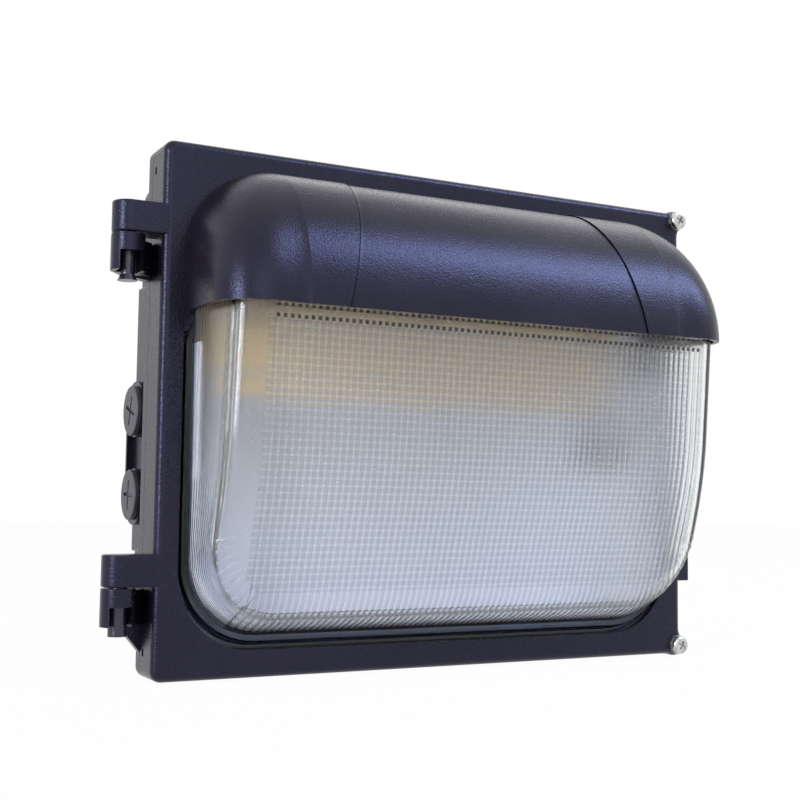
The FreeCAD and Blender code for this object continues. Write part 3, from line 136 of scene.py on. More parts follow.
class Surface:
    """One material, built from node expressions."""

    def __init__(self, name: str) -> None:
        """Start an empty material.

        Args:
            name: The material's name.
        """
        self.material = bpy.data.materials.new(name)
        self.material.use_nodes = True
        self.tree = self.material.node_tree
        self.tree.nodes.clear()
        self._place: Optional[Value] = None

    def node(self, kind: str, settings: Optional[dict[str, Any]] = None,
             inputs: Optional[dict[Union[str, int], Input]] = None, output: Union[str, int] = 0) -> Value:
        """Add a node.

        Args:
            kind: The node's type.
            settings: The node's own settings; "stops" holds a ramp's positions and colours.
            inputs: Values or links by input name or number.
            output: The output to give back.

        Returns:
            The chosen output.
        """
        node = self.tree.nodes.new(kind)
        for key, value in (settings or {}).items():
            if key == "stops":
                self._set_stops(node.color_ramp, value)
            else:
                setattr(node, key, value)
        for key, value in (inputs or {}).items():
            if isinstance(value, Value):
                self.tree.links.new(value.output, node.inputs[key])
            else:
                node.inputs[key].default_value = value
        return Value(self, node.outputs[output])

    @staticmethod
    def _set_stops(ramp: bpy.types.ColorRamp, stops: Sequence[tuple[float, Sequence[float]]]) -> None:
        """Fill a colour ramp.

        Args:
            ramp: The ramp.
            stops: Positions and colours, from low to high.
        """
        while len(ramp.elements) < len(stops):
            ramp.elements.new(1.0)
        for element, (position, colour) in zip(ramp.elements, stops):
            element.position = position
            element.color = (*colour, 1.0)

    @property
    def place(self) -> Value:
        """The object coordinates, in metres."""
        if self._place is None:
            self._place = self.node("ShaderNodeTexCoord", output="Object")
        return self._place

    def axis(self, name: str) -> Value:
        """One coordinate of the place: X, Y or Z."""
        return self.node("ShaderNodeSeparateXYZ", inputs={0: self.place}, output=name)

    def noise(self, size: float, detail: float = 2.0, roughness: float = 0.5,
              stretch: Colour = (1.0, 1.0, 1.0)) -> Value:
        """Smooth noise.

        Args:
            size: The size of its features.
            detail: How many finer layers it has.
            roughness: How strong the finer layers are.
            stretch: How often it repeats along each axis, compared with size.

        Returns:
            A value about 0.5.
        """
        place = self.node("ShaderNodeVectorMath", {"operation": "MULTIPLY"}, {0: self.place, 1: stretch})
        return self.node("ShaderNodeTexNoise", {"noise_dimensions": "3D"},
                         {"Vector": place, "Scale": 1.0 / size, "Detail": detail, "Roughness": roughness})

    def step(self, value: Value, low: float, high: float) -> Value:
        """A smooth rise from 0 at low to 1 at high.

        Args:
            value: What is measured.
            low: Where the rise starts.
            high: Where it ends.

        Returns:
            A value between 0 and 1.
        """
        return self.node("ShaderNodeMapRange", {"interpolation_type": "SMOOTHSTEP"},
                         {0: value, 1: low, 2: high, 3: 0.0, 4: 1.0})

    def blend(self, factor: Value, low: Union[Colour, Value], high: Union[Colour, Value]) -> Value:
        """Mix two colours.

        Args:
            factor: 0 for the first and 1 for the second.
            low: The first colour.
            high: The second colour.

        Returns:
            The mixed colour.
        """
        a = low if isinstance(low, Value) else (*low, 1.0)
        b = high if isinstance(high, Value) else (*high, 1.0)
        return self.node("ShaderNodeMix", {"data_type": "RGBA"}, {0: factor, 6: a, 7: b}, 2)

    def bump(self, height: Value, depth: float, strength: float = 1.0,
             under: Optional[Value] = None) -> Value:
        """Turn a height into a normal.

        Args:
            height: The height, 0 to 1.
            depth: What a height of 1 is, in metres.
            strength: How much of it shows.
            under: A normal that it is added to.

        Returns:
            The normal.
        """
        inputs: dict[Union[str, int], Input] = {"Height": height, "Distance": depth, "Strength": strength}
        if under is not None:
            inputs["Normal"] = under
        return self.node("ShaderNodeBump", inputs=inputs)

    def close(self, **inputs: Input) -> bpy.types.Material:
        """Finish the material with one Principled shader.

        Args:
            inputs: The shader's inputs, with underscores for spaces.

        Returns:
            The material.
        """
        return self.output(self.principled(**inputs))

    def principled(self, **inputs: Input) -> Value:
        """A Principled shader; colours may leave out their fourth number."""
        ready: dict[Union[str, int], Input] = {}
        for key, value in inputs.items():
            name = key.replace("_", " ")
            if not isinstance(value, (Value, float)) and len(value) == 3:
                value = (*value, 1.0)
            ready["IOR" if key == "IOR" else name] = value
        return self.node("ShaderNodeBsdfPrincipled", inputs=ready)

    def output(self, shader: Value) -> bpy.types.Material:
        """Send a shader to the surface and give back the material."""
        node = self.tree.nodes.new("ShaderNodeOutputMaterial")
        self.tree.links.new(shader.output, node.inputs["Surface"])
        return self.material


# ---------------------------------------------------------------- finishes

@dataclass(frozen=True)
class PowderCoat:
    """A dark bronze powder coat with a fine leathery texture and a blue sheen in bright light."""

    name: str = "bronze_powder_coat"
    colour: Colour = (0.0070, 0.0045, 0.0075)
    dusty: Colour = (0.0115, 0.0085, 0.0130)
    sheen: Colour = (0.54, 0.58, 0.96)
    gloss: float = 0.42
    roughness: float = 0.29
    grain: float = 0.0009
    grain_depth: float = 0.00016

    def build(self) -> bpy.types.Material:
        """Build the material."""
        s = Surface(self.name)
        grain = s.noise(self.grain, 2.0, 0.55)
        patches = s.noise(0.045, 3.0, 0.6)
        flow = s.noise(0.006, 1.0, 0.5)
        colour = s.blend(s.step(patches + grain * 0.25, 0.52, 0.82), self.colour, self.dusty)
        roughness = self.roughness + (grain - 0.5) * 0.24 + (patches - 0.5) * 0.10
        fine = s.bump(grain, self.grain_depth, 0.85)
        normal = s.bump(flow, 0.0002, 0.25, fine)
        coat = s.principled(Base_Color=colour, Roughness=roughness, Normal=self.shape(s, normal), IOR=1.52,
                            Specular_IOR_Level=self.gloss, Specular_Tint=self.sheen)
        return s.output(self.cover(s, coat))

    def cover(self, s: Surface, coat: Value) -> Value:
        """Lay anything over the coat.

        Args:
            s: The surface.
            coat: The coat's shader.

        Returns:
            The shader with what covers it.
        """
        return coat

    def shape(self, s: Surface, normal: Value) -> Value:
        """Add any larger relief under the texture.

        Args:
            s: The surface.
            normal: The texture's normal.

        Returns:
            The normal with the relief.
        """
        return normal


@dataclass(frozen=True)
class DoorCoat(PowderCoat):
    """The same coat, thick and rounded in the corner of the hood's sunk panel, with a dark line of painted
    shade in that corner.
    """

    name: str = "door_powder_coat"
    panel_low: float = 0.0800
    panel_top: float = 0.0650
    hood_low: float = 0.0425
    hood_top: float = 0.1088
    hood_root: float = -0.0740
    fillet: float = 0.0022
    depth: float = 0.00022
    crease_shade_width: float = 0.0007
    # The colour of the painted shade along the sunk panel's corner.
    crease_shade_colour: Colour = (0.0015, 0.0012, 0.0020)

    def _inside(self, s: Surface) -> Value:
        """How far inside the panel's slanted edge a place is."""
        up = (s.axis("Z") - self.hood_low) / (self.hood_top - self.hood_low)
        edge = self.panel_low - up * (self.panel_low - self.panel_top)
        return edge - s.axis("X").math("ABSOLUTE")

    def _on_hood(self, s: Surface) -> Value:
        """1 on the hood and 0 on the door's plate."""
        return s.step(self.hood_root - s.axis("Y"), 0.0, 0.0005)

    def cover(self, s: Surface, coat: Value) -> Value:
        """Lay a dull dark line of painted shade in the corner along the panel's two slanted steps."""
        away = self._inside(s).math("ABSOLUTE")
        corner = (1.0 - s.step(away, 0.0, self.crease_shade_width)) * self._on_hood(s)
        # A near-black dull shader: painted shade in the corner of the sunk panel.
        dark = s.principled(Base_Color=self.crease_shade_colour, Roughness=0.85, Specular_IOR_Level=0.08)
        return s.node("ShaderNodeMixShader", inputs={0: corner, 1: coat, 2: dark})

    def shape(self, s: Surface, normal: Value) -> Value:
        """Round the coat off where it meets the panel's two slanted steps."""
        inside = self._inside(s)
        near = (1.0 - inside / self.fillet).clamp()
        on_panel = s.step(inside, 0.0, 0.00004) * self._on_hood(s)
        return s.bump(near * near * on_panel, self.depth, 1.0, normal)


@dataclass(frozen=True)
class PressedGlass:
    """Clear pressed glass with a slightly wavy skin that lets light in."""

    name: str = "pressed_glass"
    colour: Colour = (0.985, 0.992, 0.992)
    # The band's two colours paint the refraction of the dark gap behind the side wall and hood.
    edge_refraction_colour: Colour = (0.72, 0.78, 0.75)
    edge_refraction_dark: Colour = (0.46, 0.54, 0.51)
    roughness: float = 0.080
    edge_side: float = 0.1200
    edge_low: float = -0.0620
    face: float = -0.1235
    face_top: float = 0.0435
    lean: float = 0.093
    knee: float = -0.0260
    foot_slope: float = 0.217
    band: tuple[float, float] = (0.0074, 0.0112)
    lip: float = -0.0748
    # The lip's glass painted dark as the shade seen through it; clear where no shade is painted.
    lip_shade_colour: Colour = (0.07, 0.09, 0.13)

    def build(self) -> bpy.types.Material:
        """Build the material."""
        s = Surface(self.name)
        waves = s.noise(0.009, 2.0, 0.5)
        specks = s.noise(0.0011, 1.0, 0.5)
        roughness = self.roughness + s.step(specks, 0.62, 0.80) * 0.05
        colour = self.tint(s)
        glass = s.principled(Base_Color=colour, Roughness=roughness, IOR=1.47, Transmission_Weight=1.0,
                             Normal=s.bump(waves, 0.0004, 0.30))
        clear = s.node("ShaderNodeBsdfTransparent", inputs={"Color": (0.95, 0.95, 0.95, 1.0)})
        shadow = s.node("ShaderNodeLightPath", output="Is Shadow Ray")
        return s.output(s.node("ShaderNodeMixShader", inputs={0: shadow, 1: glass, 2: clear}))

    def tint(self, s: Surface) -> Value:
        """The glass colour: clear, with a mottled green band of painted refraction along the face's side
        edges, where the dark gap behind the side wall and hood shows through, and the lip painted dark as the
        shade seen through it.

        Args:
            s: The surface.

        Returns:
            The colour.
        """
        up = s.axis("Z")
        foot = (self.knee - up).math("MAXIMUM", 0.0) * self.foot_slope
        behind = s.axis("Y") - (self.face_top - up) * self.lean - foot - self.face
        # Mask of the green band of painted refraction along the face's side edges.
        side = s.step(s.axis("X").math("ABSOLUTE"), self.edge_side, self.edge_side + 0.0006)
        above = s.step(up, self.edge_low, self.edge_low + 0.003)
        start, end = self.band
        band = s.step(behind, start, start + 0.0006) * (1.0 - s.step(behind, end, end + 0.0006))
        mottle = s.step(s.noise(0.0022, 2.0, 0.6), 0.42, 0.60)
        green = s.blend(mottle, self.edge_refraction_dark, self.edge_refraction_colour)
        face_colour = s.blend(side * above * band, self.colour, green)
        # The lip is darkened as painted shade.
        return s.blend(s.step(s.axis("Y"), self.lip, self.lip + 0.0003), face_colour, self.lip_shade_colour)


@dataclass(frozen=True)
class RibbedGlass(PressedGlass):
    """The same glass where it is ribbed: clear at each crest and a little grey, as painted shade, in each
    valley.
    """

    name: str = "ribbed_glass"
    along: str = "X"
    start: float = 0.0
    pitch: float = 0.0032
    # The grey in each valley is painted shade.
    valley_shade: Colour = (0.83, 0.845, 0.865)
    crest: Colour = (1.0, 1.0, 1.0)
    end_low: float = 1.0
    end_high: float = 1.0
    # Painted reflection of the hood's dark lower edge at the ribs' upper ends.
    end_reflection_colour: Colour = (0.10, 0.085, 0.07)

    def tint(self, s: Surface) -> Value:
        """The glass colour across the ribs, with painted shade in each valley and a painted reflection of the
        hood's lower edge as dark marks on the crests at the ribs' upper ends.
        """
        turn = (s.axis(self.along) - self.start) * (2.0 * math.pi / self.pitch)
        wave = s.node("ShaderNodeMath", {"operation": "COSINE"}, {0: turn})
        colour = s.blend(s.step(0.2 - wave, 0.2, 1.2), self.valley_shade, self.crest)
        up = s.axis("Z")
        above = s.step(up, self.end_low, self.end_low + 0.0005)
        below = 1.0 - s.step(up, self.end_high, self.end_high + 0.0005)
        # Dark marks on the crests between end_low and end_high: painted reflection of the hood's lower edge.
        return s.blend(above * below * s.step(0.0 - wave, -0.2, 0.3), colour, self.end_reflection_colour)


@dataclass(frozen=True)
class PlatedSteel:
    """Plated steel with fine turning marks and dull patches."""

    name: str
    colour: Colour
    dull: Colour
    roughness: float
    metallic: float = 1.0

    def build(self) -> bpy.types.Material:
        """Build the material."""
        s = Surface(self.name)
        patches = s.noise(0.0022, 3.0, 0.6)
        scratches = s.noise(0.0005, 2.0, 0.6, (1.0, 4.0, 1.0))
        colour = s.blend(s.step(patches, 0.40, 0.66), self.colour, self.dull)
        roughness = self.roughness + patches * 0.16 + scratches * 0.10
        return s.close(Base_Color=colour, Metallic=self.metallic, Roughness=roughness,
                       Normal=s.bump(scratches, 0.00003, 0.6))


@dataclass(frozen=True)
class Enamel:
    """A smooth enamel or solder mask with a faint orange peel."""

    name: str
    colour: Colour
    shade: Colour
    roughness: float = 0.30
    peel: float = 0.004

    def build(self) -> bpy.types.Material:
        """Build the material."""
        s = Surface(self.name)
        peel = s.noise(self.peel, 1.0, 0.5)
        stain = s.noise(0.06, 3.0, 0.6)
        colour = s.blend(s.step(stain, 0.45, 0.75), self.colour, self.shade)
        return s.close(Base_Color=colour, Roughness=self.roughness + (stain - 0.5) * 0.15,
                       Normal=s.bump(peel, 0.00008, 0.4))


@dataclass(frozen=True)
class Moulded:
    """A moulded plastic, silicone or rubber with a fine skin."""

    name: str
    colour: Colour
    shade: Colour
    roughness: float
    skin: float = 0.0008
    skin_depth: float = 0.00005

    def build(self) -> bpy.types.Material:
        """Build the material."""
        s = Surface(self.name)
        skin = s.noise(self.skin, 2.0, 0.6)
        cloud = s.noise(0.012, 3.0, 0.6)
        colour = s.blend(s.step(cloud, 0.38, 0.70), self.colour, self.shade)
        return s.close(Base_Color=colour, Roughness=self.roughness + (skin - 0.5) * 0.2,
                       Normal=s.bump(skin, self.skin_depth, 0.7))


@dataclass(frozen=True)
class Phosphor:
    """Clear silicone over yellow phosphor, with the chips' rows showing faintly."""

    name: str = "phosphor_silicone"
    colour: Colour = (0.90, 0.68, 0.35)
    pale: Colour = (0.92, 0.71, 0.40)
    pitch: float = 0.0052

    def build(self) -> bpy.types.Material:
        """Build the material."""
        s = Surface(self.name)
        turn = s.axis("X") * (2.0 * math.pi / self.pitch)
        wave = s.node("ShaderNodeMath", {"operation": "SINE"}, {0: turn})
        cloud = s.noise(0.010, 2.0, 0.5)
        colour = s.blend(s.step(wave + cloud, 0.2, 1.4), self.colour, self.pale)
        return s.close(Base_Color=colour, Roughness=0.55 + cloud * 0.1, Normal=s.bump(wave, 0.00012, 0.4))


@dataclass(frozen=True)
class LightBoard:
    """A board whose cream light-giving coat fades out to white solder mask below; the mask is painted grey as
    shade under the hood and painted lighter towards the right as light.
    """

    name: str = "light_board"
    cream: Colour = (0.86, 0.66, 0.36)
    # The mask's white, painted grey as shade under the hood.
    white: Colour = (0.62, 0.62, 0.62)
    fade_low: float = 0.006
    fade_high: float = 0.032
    roughness: float = 0.60
    # The colour the mask is painted towards the right, as painted light.
    far: Colour = (0.75, 0.77, 0.79)
    lit_right_start: float = -0.070
    lit_right_full: float = 0.060

    def build(self) -> bpy.types.Material:
        """Build the material."""
        s = Surface(self.name)
        peel = s.noise(0.002, 1.0, 0.5)
        cloud = s.noise(0.020, 2.0, 0.5)
        height = s.axis("Z") + (cloud - 0.5) * 0.004
        # Painted light: the mask lightens towards the right.
        white = s.blend(s.step(s.axis("X"), self.lit_right_start, self.lit_right_full), self.white, self.far)
        colour = self.ends(s, s.blend(s.step(height, self.fade_low, self.fade_high), white, self.cream))
        return s.close(Base_Color=colour, Roughness=self.roughness + (cloud - 0.5) * 0.2,
                       Normal=s.bump(peel, 0.00006, 0.4))

    def ends(self, s: Surface, colour: Value) -> Value:
        """Change the colour towards the ends.

        Args:
            s: The surface.
            colour: The colour so far.

        Returns:
            The colour.
        """
        return colour


@dataclass(frozen=True)
class TrayEnamel(LightBoard):
    """White tray enamel, greyed near the board as painted shade and painted brighter towards its right end as
    light.
    """

    # The colour the tray is painted towards its right end, as painted light.
    side: Colour = (0.76, 0.78, 0.80)
    lit_end_start: float = -0.080
    lit_end_full: float = 0.112

    def ends(self, s: Surface, colour: Value) -> Value:
        """Brighten the tray towards its right end: painted light."""
        return s.blend(s.step(s.axis("X"), self.lit_end_start, self.lit_end_full), colour, self.side)


class Palette(Enum):
    """The finishes by the piece they are on."""

    COAT = PowderCoat()
    DOOR_COAT = DoorCoat()
    PLUG = PowderCoat("plug_coat", (0.040, 0.038, 0.046), (0.062, 0.060, 0.068), (0.8, 0.85, 1.0), 0.5, 0.42)
    GLASS = PressedGlass(roughness=0.14)
    GLASS_INSIDE = PressedGlass("pressed_glass_inside", roughness=0.26, lip_shade_colour=(0.985, 0.992, 0.992))
    UPRIGHT_RIBS = RibbedGlass("upright_ribbed_glass", along="X", start=-0.1125, end_low=0.0362,
                               end_high=0.0380)
    BROW = RibbedGlass("brow_glass", along="X", start=-0.1125, end_low=0.0405, end_high=0.0424)
    LEVEL_RIBS = RibbedGlass("level_ribbed_glass", along="Z", start=0.0385)
    ZINC = PlatedSteel("zinc_plate", (0.60, 0.60, 0.58), (0.40, 0.40, 0.39), 0.20)
    PIN = PowderCoat("pin_coat", (0.014, 0.011, 0.017), (0.020, 0.016, 0.022), (0.80, 0.82, 1.0), 0.7, 0.26)
    GREEN = PlatedSteel("green_screw_paint", (0.05, 0.30, 0.10), (0.04, 0.22, 0.08), 0.34, 0.2)
    # The tray's first colour is painted shade near the board; the second is its enamel lower down.
    TRAY = TrayEnamel("tray_enamel", (0.58, 0.575, 0.57), (0.70, 0.72, 0.75), -0.050, 0.010)
    SKIRT = Enamel("skirt_enamel", (0.60, 0.62, 0.64), (0.54, 0.56, 0.58))
    BOARD = LightBoard()
    STRIP = Phosphor()
    BLACK_RUBBER = Moulded("black_rubber", (0.022, 0.022, 0.023), (0.036, 0.036, 0.038), 0.62)
    GASKET_RUBBER = Moulded("dark_grey_rubber", (0.050, 0.052, 0.056), (0.070, 0.072, 0.076), 0.55)
    GREY_SILICONE = Moulded("grey_silicone", (0.40, 0.40, 0.41), (0.46, 0.46, 0.47), 0.55)
    DRIVER_CASE = Moulded("driver_case", (0.13, 0.14, 0.15), (0.17, 0.18, 0.19), 0.48)
    TERMINAL = Moulded("terminal_plastic", (0.72, 0.71, 0.66), (0.66, 0.65, 0.60), 0.40)
    BLACK_LEAD = Moulded("black_insulation", (0.020, 0.020, 0.022), (0.030, 0.030, 0.032), 0.42)
    WHITE_LEAD = Moulded("white_insulation", (0.78, 0.78, 0.76), (0.70, 0.70, 0.68), 0.42)
    RED_LEAD = Moulded("red_insulation", (0.50, 0.035, 0.030), (0.40, 0.028, 0.025), 0.42)


NODE_FINISHES: dict[Palette, tuple[str, ...]] = {
    Palette.COAT: ("back_housing",),
    Palette.DOOR_COAT: ("door_frame",),
    Palette.PLUG: ("conduit_plug_upper", "conduit_plug_lower"),
    Palette.GLASS: ("glass_refractor",),
    Palette.ZINC: ("tray_posts", "tray_screws", "board_screws", "driver_screws", "glass_clips", "clip_screws",
                   "door_screw_upper", "flat_washer_upper", "spring_washer_upper", "retaining_ring_upper",
                   "door_screw_lower", "flat_washer_lower", "spring_washer_lower", "retaining_ring_lower"),
    Palette.PIN: ("hinge_pin_upper", "hinge_pin_lower"),
    Palette.GREEN: ("ground_screw",),
    Palette.TRAY: ("gear_tray",),
    Palette.BOARD: ("led_board",),
    Palette.STRIP: ("led_strips",),
    Palette.BLACK_RUBBER: ("door_seal", "plug_seals", "lead_grommet"),
    Palette.GASKET_RUBBER: ("glass_gasket",),
    Palette.GREY_SILICONE: ("thermal_pad",),
    Palette.DRIVER_CASE: ("led_driver",),
    Palette.TERMINAL: ("terminal_block",),
    Palette.BLACK_LEAD: ("lead_negative", "lead_line"),
    Palette.WHITE_LEAD: ("lead_neutral",),
    Palette.RED_LEAD: ("lead_positive",),
}


class Wardrobe:
    """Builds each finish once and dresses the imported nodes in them."""

    def __init__(self) -> None:
        """Build every finish."""
        self.materials = {finish: finish.value.build() for finish in Palette}

    def dress_nodes(self) -> None:
        """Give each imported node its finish."""
        for finish, names in NODE_FINISHES.items():
            for name in names:
                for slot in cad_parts[name].material_slots:
                    slot.material = self.materials[finish]
            log.info("%s dresses %s", finish.name.lower(), ", ".join(names))


# ---------------------------------------------------------------- mesh helpers

class RingShell:
    """A closed shell grown ring by ring, each ring extruded from the one before."""

    def __init__(self, points: Iterable[Vector]) -> None:
        """Lay the first ring.

        Args:
            points: The ring's points in order.
        """
        self.mesh = bmesh.new()
        self.start(points)

    def start(self, points: Iterable[Vector]) -> None:
        """Lay a first ring in the same mesh.

        Args:
            points: The ring's points in order.
        """
        self.ring = [self.mesh.verts.new(point) for point in points]
        for a, b in self._sides():
            self.mesh.edges.new((a, b))

    def _sides(self) -> list[tuple[bmesh.types.BMVert, bmesh.types.BMVert]]:
        """The pairs of neighbours round the ring."""
        return list(zip(self.ring, self.ring[1:] + self.ring[:1]))

    def grow(self, points: Iterable[Vector]) -> None:
        """Extrude the ring and move it to new points.

        Args:
            points: The new ring's points, in the same order.
        """
        edges = [self.mesh.edges.get(pair) for pair in self._sides()]
        made = bmesh.ops.extrude_edge_only(self.mesh, edges=edges)
        fresh = {item for item in made["geom"] if isinstance(item, bmesh.types.BMVert)}
        self.ring = [next(edge.other_vert(vert) for edge in vert.link_edges if edge.other_vert(vert) in fresh)
                     for vert in self.ring]
        for vert, point in zip(self.ring, points):
            vert.co = point

    def cap(self, in_strips: bool = False) -> None:
        """Close the ring with a face.

        Args:
            in_strips: Whether to divide it between each vertex and its mirror image in the ring.
        """
        self.mesh.faces.new(self.ring)
        if in_strips:
            count = len(self.ring)
            for i in range(1, count // 2):
                bmesh.ops.connect_verts(self.mesh, verts=[self.ring[i], self.ring[count - i]])


def make_piece(name: str, mesh: bmesh.types.BMesh, material: bpy.types.Material, body: str,
               sharp_angle: float = 34.0) -> bpy.types.Object:
    """Turn a finished bmesh into a piece that rides on a body.

    Args:
        name: The piece's name.
        mesh: The bmesh, which is freed.
        material: Its finish.
        body: The body that it rides on.
        sharp_angle: Edges bent by more than this, in degrees, stay sharp.

    Returns:
        The piece.
    """
    bmesh.ops.recalc_face_normals(mesh, faces=mesh.faces[:])
    data = bpy.data.meshes.new(name)
    mesh.to_mesh(data)
    mesh.free()
    data.shade_smooth()
    data.set_sharp_from_angle(angle=math.radians(sharp_angle))
    data.materials.append(material)
    piece = bpy.data.objects.new(name, data)
    bpy.context.scene.collection.objects.link(piece)
    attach(piece, body)
    log.info("%s: %d faces on %s", name, len(data.polygons), body)
    return piece


# ---------------------------------------------------------------- glass

@dataclass
class Refractor:
    """The pressed glass bowl: ringed walls, upright ribs on its face and level ribs inside."""

    material: bpy.types.Material
    inside: bpy.types.Material
    upright: bpy.types.Material
    level: bpy.types.Material
    brow: bpy.types.Material
    skirt: bpy.types.Material
    wall: float = 0.0040
    rim_width: float = 0.0065
    rim_thickness: float = 0.0040
    lip_width: float = 0.0025
    lip_proud: float = 0.0010
    lip_top: float = 0.0342
    reach: float = 0.0500
    overrun: float = 0.0060
    low_corner: float = 0.0330
    high_corner: float = 0.0120
    side_draft: float = 0.0045
    top_draft: float = 0.0006
    bottom_rise: float = 0.0270
    knee_height: float = -0.0260
    knee_back: float = 0.0065
    knee_ease: float = 0.0200
    foot_slope: float = 0.31
    edge_round: float = 0.0080
    ring_count: int = 12
    ring_depth: float = 0.00014
    rib_pitch: float = 0.0032
    rib_height: float = 0.00046
    level_height: float = 0.00028
    rib_end: float = 30.0
    floor_height: float = 0.00050
    dash_count: int = 12
    dash_width: float = 0.0016
    skirt_tuck: float = 0.0140
    skirt_reach: float = 0.0062
    skirt_gap: float = 0.0011
    skirt_sheet: float = 0.0006
    skirt_hem: float = 0.0012
    skirt_top: float = 0.0300
    dash_reach: float = 0.0002
    dash_height: float = 0.00030
    rib_sink: float = 0.00006
    rib_top: float = 0.0385
    level_side: float = 0.1140
    brow_low: float = 0.0412
    brow_high: float = 0.0432
    brow_height: float = 0.0006
    rib_left: float = -0.1125
    rib_right: float = 0.1185
    corner_steps: int = 16
    side_steps: int = 18

    def __post_init__(self) -> None:
        """Take the bowl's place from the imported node."""
        low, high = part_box("glass_refractor")
        self.half_width = high.x - self.rim_width
        self.bottom = low.z + self.rim_width
        self.top = high.z - self.rim_width
        self.back = high.y
        self.door_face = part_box("flat_washer_upper")[1].y
        self.face = self.door_face - self.reach
        self.far = self.face - self.overrun

    def face_depth(self, z: float) -> float:
        """How far forward the bowl's face is at a height: two slopes with a smooth knee between.

        Args:
            z: The height.

        Returns:
            The Y of the outer face.
        """
        lean = self.knee_back / (self.top - self.knee_height)
        start = self.knee_height + self.knee_ease
        depth = self.face + lean * (self.top - z)
        into_knee = min(max(start - z, 0.0), 2.0 * self.knee_ease)
        past_knee = max(start - z - 2.0 * self.knee_ease, 0.0)
        bend = (self.foot_slope - lean) * (into_knee ** 2 / (4.0 * self.knee_ease) + past_knee)
        return depth + bend

    def outline(self, grow: float, depth: Callable[[float], float]) -> list[Vector]:
        """The bowl's outline, grown outwards, at a depth that may change with height.

        Args:
            grow: How far outside the outer wall it lies; less than 0 is inside.
            depth: Gives the Y at a height.

        Returns:
            The points, from the top's middle down the right side and up the left.
        """
        right = [self._point(turn, share, grow, depth) for turn, share in self._marks()]
        left = [Vector((-p.x, p.y, p.z)) for p in right[-2:0:-1]]
        return right + left

    def _point(self, turn: str, share: float, grow: float, depth: Callable[[float], float]) -> Vector:
        """One point of the right half of an outline.

        Args:
            turn: The stretch that it is on.
            share: How far along the stretch it is.
            grow: How far outside the outer wall the outline lies.
            depth: Gives the Y at a height.

        Returns:
            The point.
        """
        z = 0.0
        for _ in range(3):
            ahead = (self.back - depth(z)) / (self.back - self.far)
            x, z = self._mark(turn, share, grow, ahead)
        return Vector((x, depth(z), z))

    def _marks(self) -> list[tuple[str, float]]:
        """The places along the right half of the outline: its stretch and the share along it."""
        n, m = self.corner_steps, self.side_steps
        marks = [("top", 0.0)]
        marks += [("high", i / (n // 2)) for i in range(n // 2 + 1)]
        marks += [("side", i / m) for i in range(1, m)]
        marks += [("low", i / n) for i in range(n + 1)]
        return marks + [("bottom", 0.0)]

    def _mark(self, turn: str, share: float, grow: float, ahead: float) -> tuple[float, float]:
        """One point of the right half of the outline.

        Args:
            turn: The stretch that it is on.
            share: How far along the stretch it is.
            grow: How far outside the outer wall it lies.
            ahead: How far it is from the back, as a share of the way to the far plane.

        Returns:
            The point's X and Z.
        """
        half = self.half_width + grow - self.side_draft * ahead
        high = self.top + grow - self.top_draft * ahead
        low = self.bottom - grow + self.bottom_rise * ahead
        high_corner, low_corner = self.high_corner + grow, self.low_corner + grow
        if turn == "top":
            return 0.0, high
        if turn == "high":
            angle = math.radians(90.0 * (1.0 - share))
            return (half - high_corner + high_corner * math.cos(angle),
                    high - high_corner + high_corner * math.sin(angle))
        if turn == "side":
            return half, (high - high_corner) * (1.0 - share) + (low + low_corner) * share
        if turn == "low":
            angle = math.radians(-90.0 * share)
            return (half - low_corner + low_corner * math.cos(angle),
                    low + low_corner + low_corner * math.sin(angle))
        return 0.0, low

    def _rounded(self, inset: float, radius: float) -> list[list[Vector]]:
        """The rings of the rounded edge between a wall and the face, from the wall to the face.

        Args:
            inset: How far inside the outer surface the wall is.
            radius: The edge's radius.

        Returns:
            The rings.
        """
        rings = []
        for i in range(7):
            angle = math.radians(15.0 * i)
            back = inset + radius * (1.0 - math.sin(angle))
            rings.append(self.outline(-inset - radius * (1.0 - math.cos(angle)),
                                      lambda z, b=back: self.face_depth(z) + b))
        return rings

    def _lip(self, width: float, y: float) -> list[Vector]:
        """The lip's ring, which has no width where the hood covers it.

        Args:
            width: The lip's width below the hood.
            y: Its depth.

        Returns:
            The ring.
        """
        wide = self.outline(width, lambda z: y)
        narrow = self.outline(0.0003, lambda z: y)
        return [w if w.z < self.lip_top else n for w, n in zip(wide, narrow)]

    def build_bowl(self) -> bpy.types.Object:
        """Build the bowl with its rim, lip and ringed walls.

        Returns:
            The bowl.
        """
        inner = self._rounded(self.wall, self.edge_round - self.wall)
        shell = RingShell(inner[-1])
        shell.cap(in_strips=True)
        for ring in reversed(inner[:-1]):
            shell.grow(ring)
        inner_faces = set(shell.mesh.faces)
        seat = self.back - self.rim_thickness
        lip_face = self.door_face - self.lip_proud
        shell.grow(self.outline(-self.wall, lambda z: self.back))
        shell.grow(self.outline(self.rim_width, lambda z: self.back))
        shell.grow(self.outline(self.rim_width, lambda z: seat))
        shell.grow(self._lip(self.lip_width, seat))
        shell.grow(self._lip(self.lip_width, lip_face))
        shell.grow(self.outline(0.0, lambda z: lip_face))
        for i in range(4 * self.ring_count + 1):
            share = i / (4.0 * self.ring_count)
            groove = -self.ring_depth if i % 4 == 2 else 0.0
            shell.grow(self.outline(groove, lambda z, s=share: lip_face
                                    + (self.face_depth(z) + self.edge_round - lip_face) * (0.02 + 0.96 * s)))
        for ring in self._rounded(0.0, self.edge_round):
            shell.grow(ring)
        shell.cap(in_strips=True)
        for face in shell.mesh.faces:
            face.material_index = int(face in inner_faces)
        bowl = make_piece("refractor_bowl", shell.mesh, self.material, DOOR, 24.0)
        bowl.data.materials.append(self.inside)
        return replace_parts(bowl, "glass_refractor")

